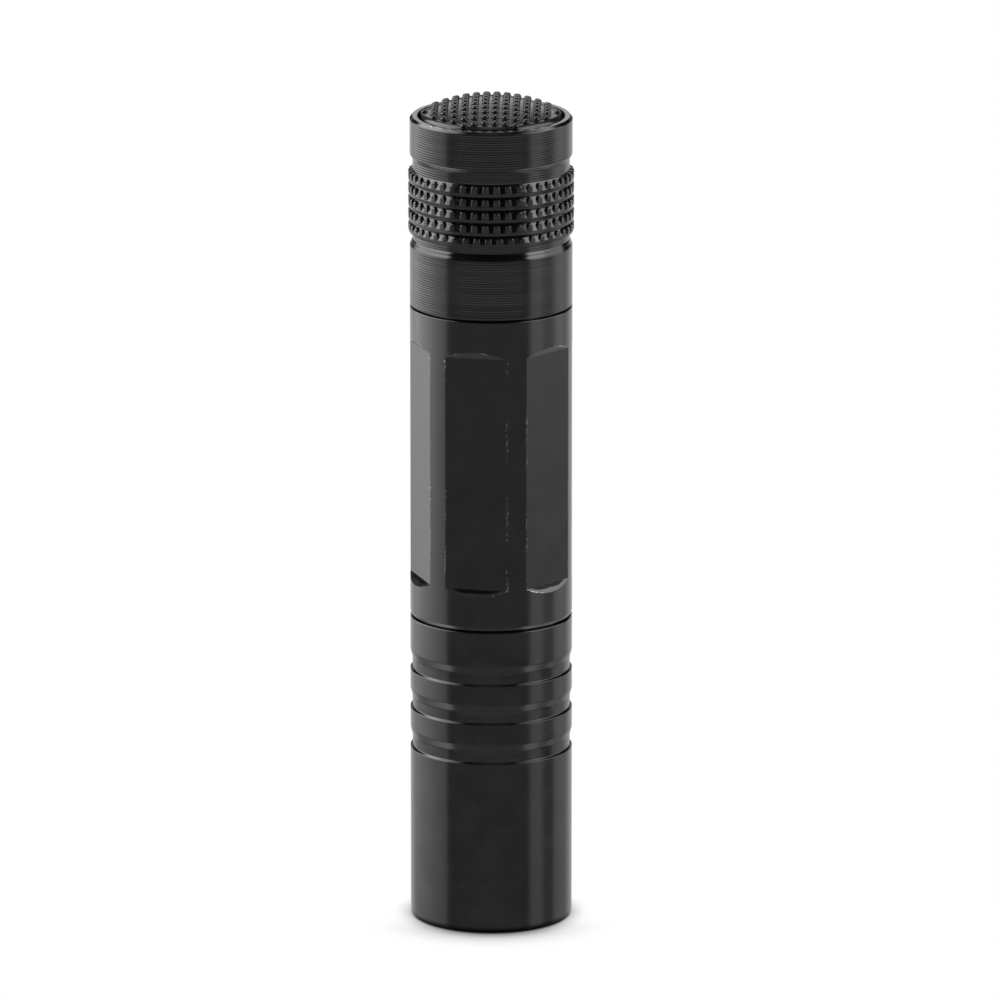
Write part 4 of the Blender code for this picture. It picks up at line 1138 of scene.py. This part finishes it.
# Panels round the torch, by these sizes in degrees and a level of light
# Azimuth 0 is the camera's side and grows to its right; 180 is behind the torch
PANEL_SIZES = ("Left", "Right", "Low", "High", "Side edge", "Top edge", "Level")
STUDIO = {
    "dark room": (-400, 400, -200, 200, 10, 10, 0.012),
    "table": (-400, 400, -200, -3, 10, 6, 0.11),
    "table, far": (-400, 400, -15.2, -3, 10, 6, 0.14),
    "table, near": (-400, 400, -200, -36, 10, 20, 0.18),
    "table, in front": (-56, 50, -26.5, -19.5, 30, 3, 0.5),
    "left panel": (-139, -66, 2, 64, 7, 8, 1.5),
    "left panel, middle": (-130, -80, 2, 64, 30, 8, 0.8),
    "left panel, top": (-139, -64, 20, 50, 7, 8, 1.3),
    "left panel on the table": (-138, -68, -14.6, -1, 16, 4.5, 0.6),
    "left panel on the table, middle": (-140, -88, -14.6, -1, 34, 4.5, 0.85),
    "left table": (-142, -66, -60, -1, 7, 10, 0.33),
    "left table, far": (-180, -142, -60, -9, 7, 6, 0.42),
    "left table, near": (-130, -70, -80, -38, 20, 18, 1.1),
    "right strip": (57, 84, 2, 60, 7, 8, 1.9),
    "right panel": (84, 124, 2, 60, 9, 8, 1.2),
    "right panel, top": (55, 124, 20, 50, 7, 8, 0.9),
    "right strip on the table": (57, 83, -14.2, -1, 10, 5, 0.5),
    "right gap on the table": (82, 101, -14.1, -1, 8, 3, 0.45),
    "right panel on the table": (101, 122, -14.2, -1, 10, 5, 0.45),
    "right strip, low": (57, 79, -60, -1, 10, 10, 0.3),
    "right panel, low": (101, 180, -60, -1, 10, 10, 0.32),
    "right table, near": (60, 130, -80, -38, 20, 18, 0.6),
    "backdrop, right": (140, 400, -60, -4, 16, 10, 0.22),
    "backdrop, left": (-400, -142, -60, -9, 16, 6, 0.15),
    "backdrop": (162, 400, 6, 70, 20, 10, 1.0),
    "backdrop, left side": (-400, -162, 6, 70, 20, 10, 1.0),
    "ceiling in front": (-50, 50, 60, 73, 30, 5, 0.3),
    "overhead panel": (-400, 400, 80, 200, 10, 6, 0.9),
}


WHITE = (1.0, 1.0, 1.0, 1.0)
WARM_WHITE = (1.0, 0.995, 0.985, 1.0)
FLOOR_GREY = (0.8, 0.8, 0.8, 1.0)
FLOOR_SIZE = 4.0           # in metres
FLOOR_GAP = 0.03           # from the rim down to the floor
# Reaches of the shadow painted on the floor
SHADOW_REACHES = (3.0, 10.0)  # of the dark line under the rim, and of the soft shadow in front


def seen_ray(tree):
    """1 for a ray straight from the camera or through a clear piece, else 0."""
    rays = outputs(add_node(tree, "ShaderNodeLightPath"))
    return maths("MAXIMUM", rays["Is Camera Ray"], rays["Is Transmission Ray"])


def blend(share, first, second):
    """One shader or the other, by a mask."""
    return output(share.tree, "ShaderNodeMixShader", {0: share, 1: first, 2: second})


def light_studio():
    """The studio as a world: white behind for the camera, soft panels for what the surfaces show."""
    world = bpy.data.worlds.new("studio")
    bpy.context.scene.world = world
    world.use_nodes = True
    tree = world.node_tree
    tree.nodes.clear()
    softbox = make_softbox()
    ray = output(tree, "ShaderNodeTexCoord", key="Generated")
    inputs = {"Vector": ray, "Angle": -math.radians(VIEW_AZIMUTH_DEG)}
    axes = parts(output(tree, "ShaderNodeVectorRotate", inputs, rotation_type="Z_AXIS"))
    azimuth = maths("DEGREES", maths("ARCTAN2", axes[0], axes[1] * -1.0))
    elevation = maths("DEGREES", maths("ARCSINE", axes[2]))
    total = 0.0
    for panel in STUDIO.values():
        inputs = {"Azimuth": azimuth, "Elevation": elevation, **dict(zip(PANEL_SIZES, map(float, panel)))}
        total = use_group(tree, softbox, inputs)["Light"] + total
    panels = output(tree, "ShaderNodeBackground", {"Color": WARM_WHITE, "Strength": total})
    white = output(tree, "ShaderNodeBackground", {"Color": WHITE, "Strength": 1.0})
    add_node(tree, "ShaderNodeOutputWorld", {"Surface": blend(seen_ray(tree), panels, white)})


def add_floor():
    """A white floor that shows as pure white but for a painted soft shadow of the torch, and is clear from
    below.
    """
    bm = bmesh.new()
    bmesh.ops.create_grid(bm, x_segments=1, y_segments=1, size=FLOOR_SIZE / 2)
    bmesh.ops.translate(bm, verts=bm.verts, vec=(0.0, 0.0, -FLOOR_GAP * MM))
    mesh = bpy.data.meshes.new("floor")
    bm.to_mesh(mesh)
    bm.free()
    floor = add_object("floor", mesh)
    made = bpy.data.materials.new("white floor")
    made.use_nodes = True
    tree = made.node_tree
    tree.nodes.clear()
    lean = tuple(direction(VIEW_AZIMUTH_DEG + 180.0, 20.0))
    surface = outputs(add_node(tree, "ShaderNodeNewGeometry"))
    inputs = {0: surface["Position"], 1: tuple(direction(VIEW_AZIMUTH_DEG, 0.0))}
    forward = output(tree, "ShaderNodeVectorMath", inputs, "Value", operation="DOT_PRODUCT")
    # Painted shadow: the floor's white is darkened by occlusion near the torch, and more in front of it by
    # where the point lies
    near, wide = [
        output(tree, "ShaderNodeAmbientOcclusion", {"Distance": reach * MM, "Normal": lean}, "AO", samples=16)
        for reach in SHADOW_REACHES
    ]
    painted_contact_shadow = ramped(near, 0.05, 0.95, 0.1, 1.0)
    painted_front_shadow = ramped(wide, 0.9, 0.45, 0.0, 0.75) * ramped(forward, 2 * MM, 10 * MM)
    shade = painted_contact_shadow * (1.0 - painted_front_shadow)
    lit = output(tree, "ShaderNodeEmission", {"Color": WHITE, "Strength": shade})
    plain = output(tree, "ShaderNodeBsdfDiffuse", {"Color": FLOOR_GREY})
    clear = output(tree, "ShaderNodeBsdfTransparent")
    shown = blend(surface["Backfacing"], blend(seen_ray(tree), plain, lit), clear)
    add_node(tree, "ShaderNodeOutputMaterial", {"Surface": shown})
    mesh.materials.append(made)
    floor.visible_glossy = False


make_tail_cap()
make_boot()
make_barrel()
make_seals()
make_head()
make_window()
make_reflector()
make_led()
make_rings_and_discs()
make_springs()
dress_cad_nodes()
add_camera()
light_studio()
add_floor()
bpy.context.scene.view_settings.view_transform = "Standard"
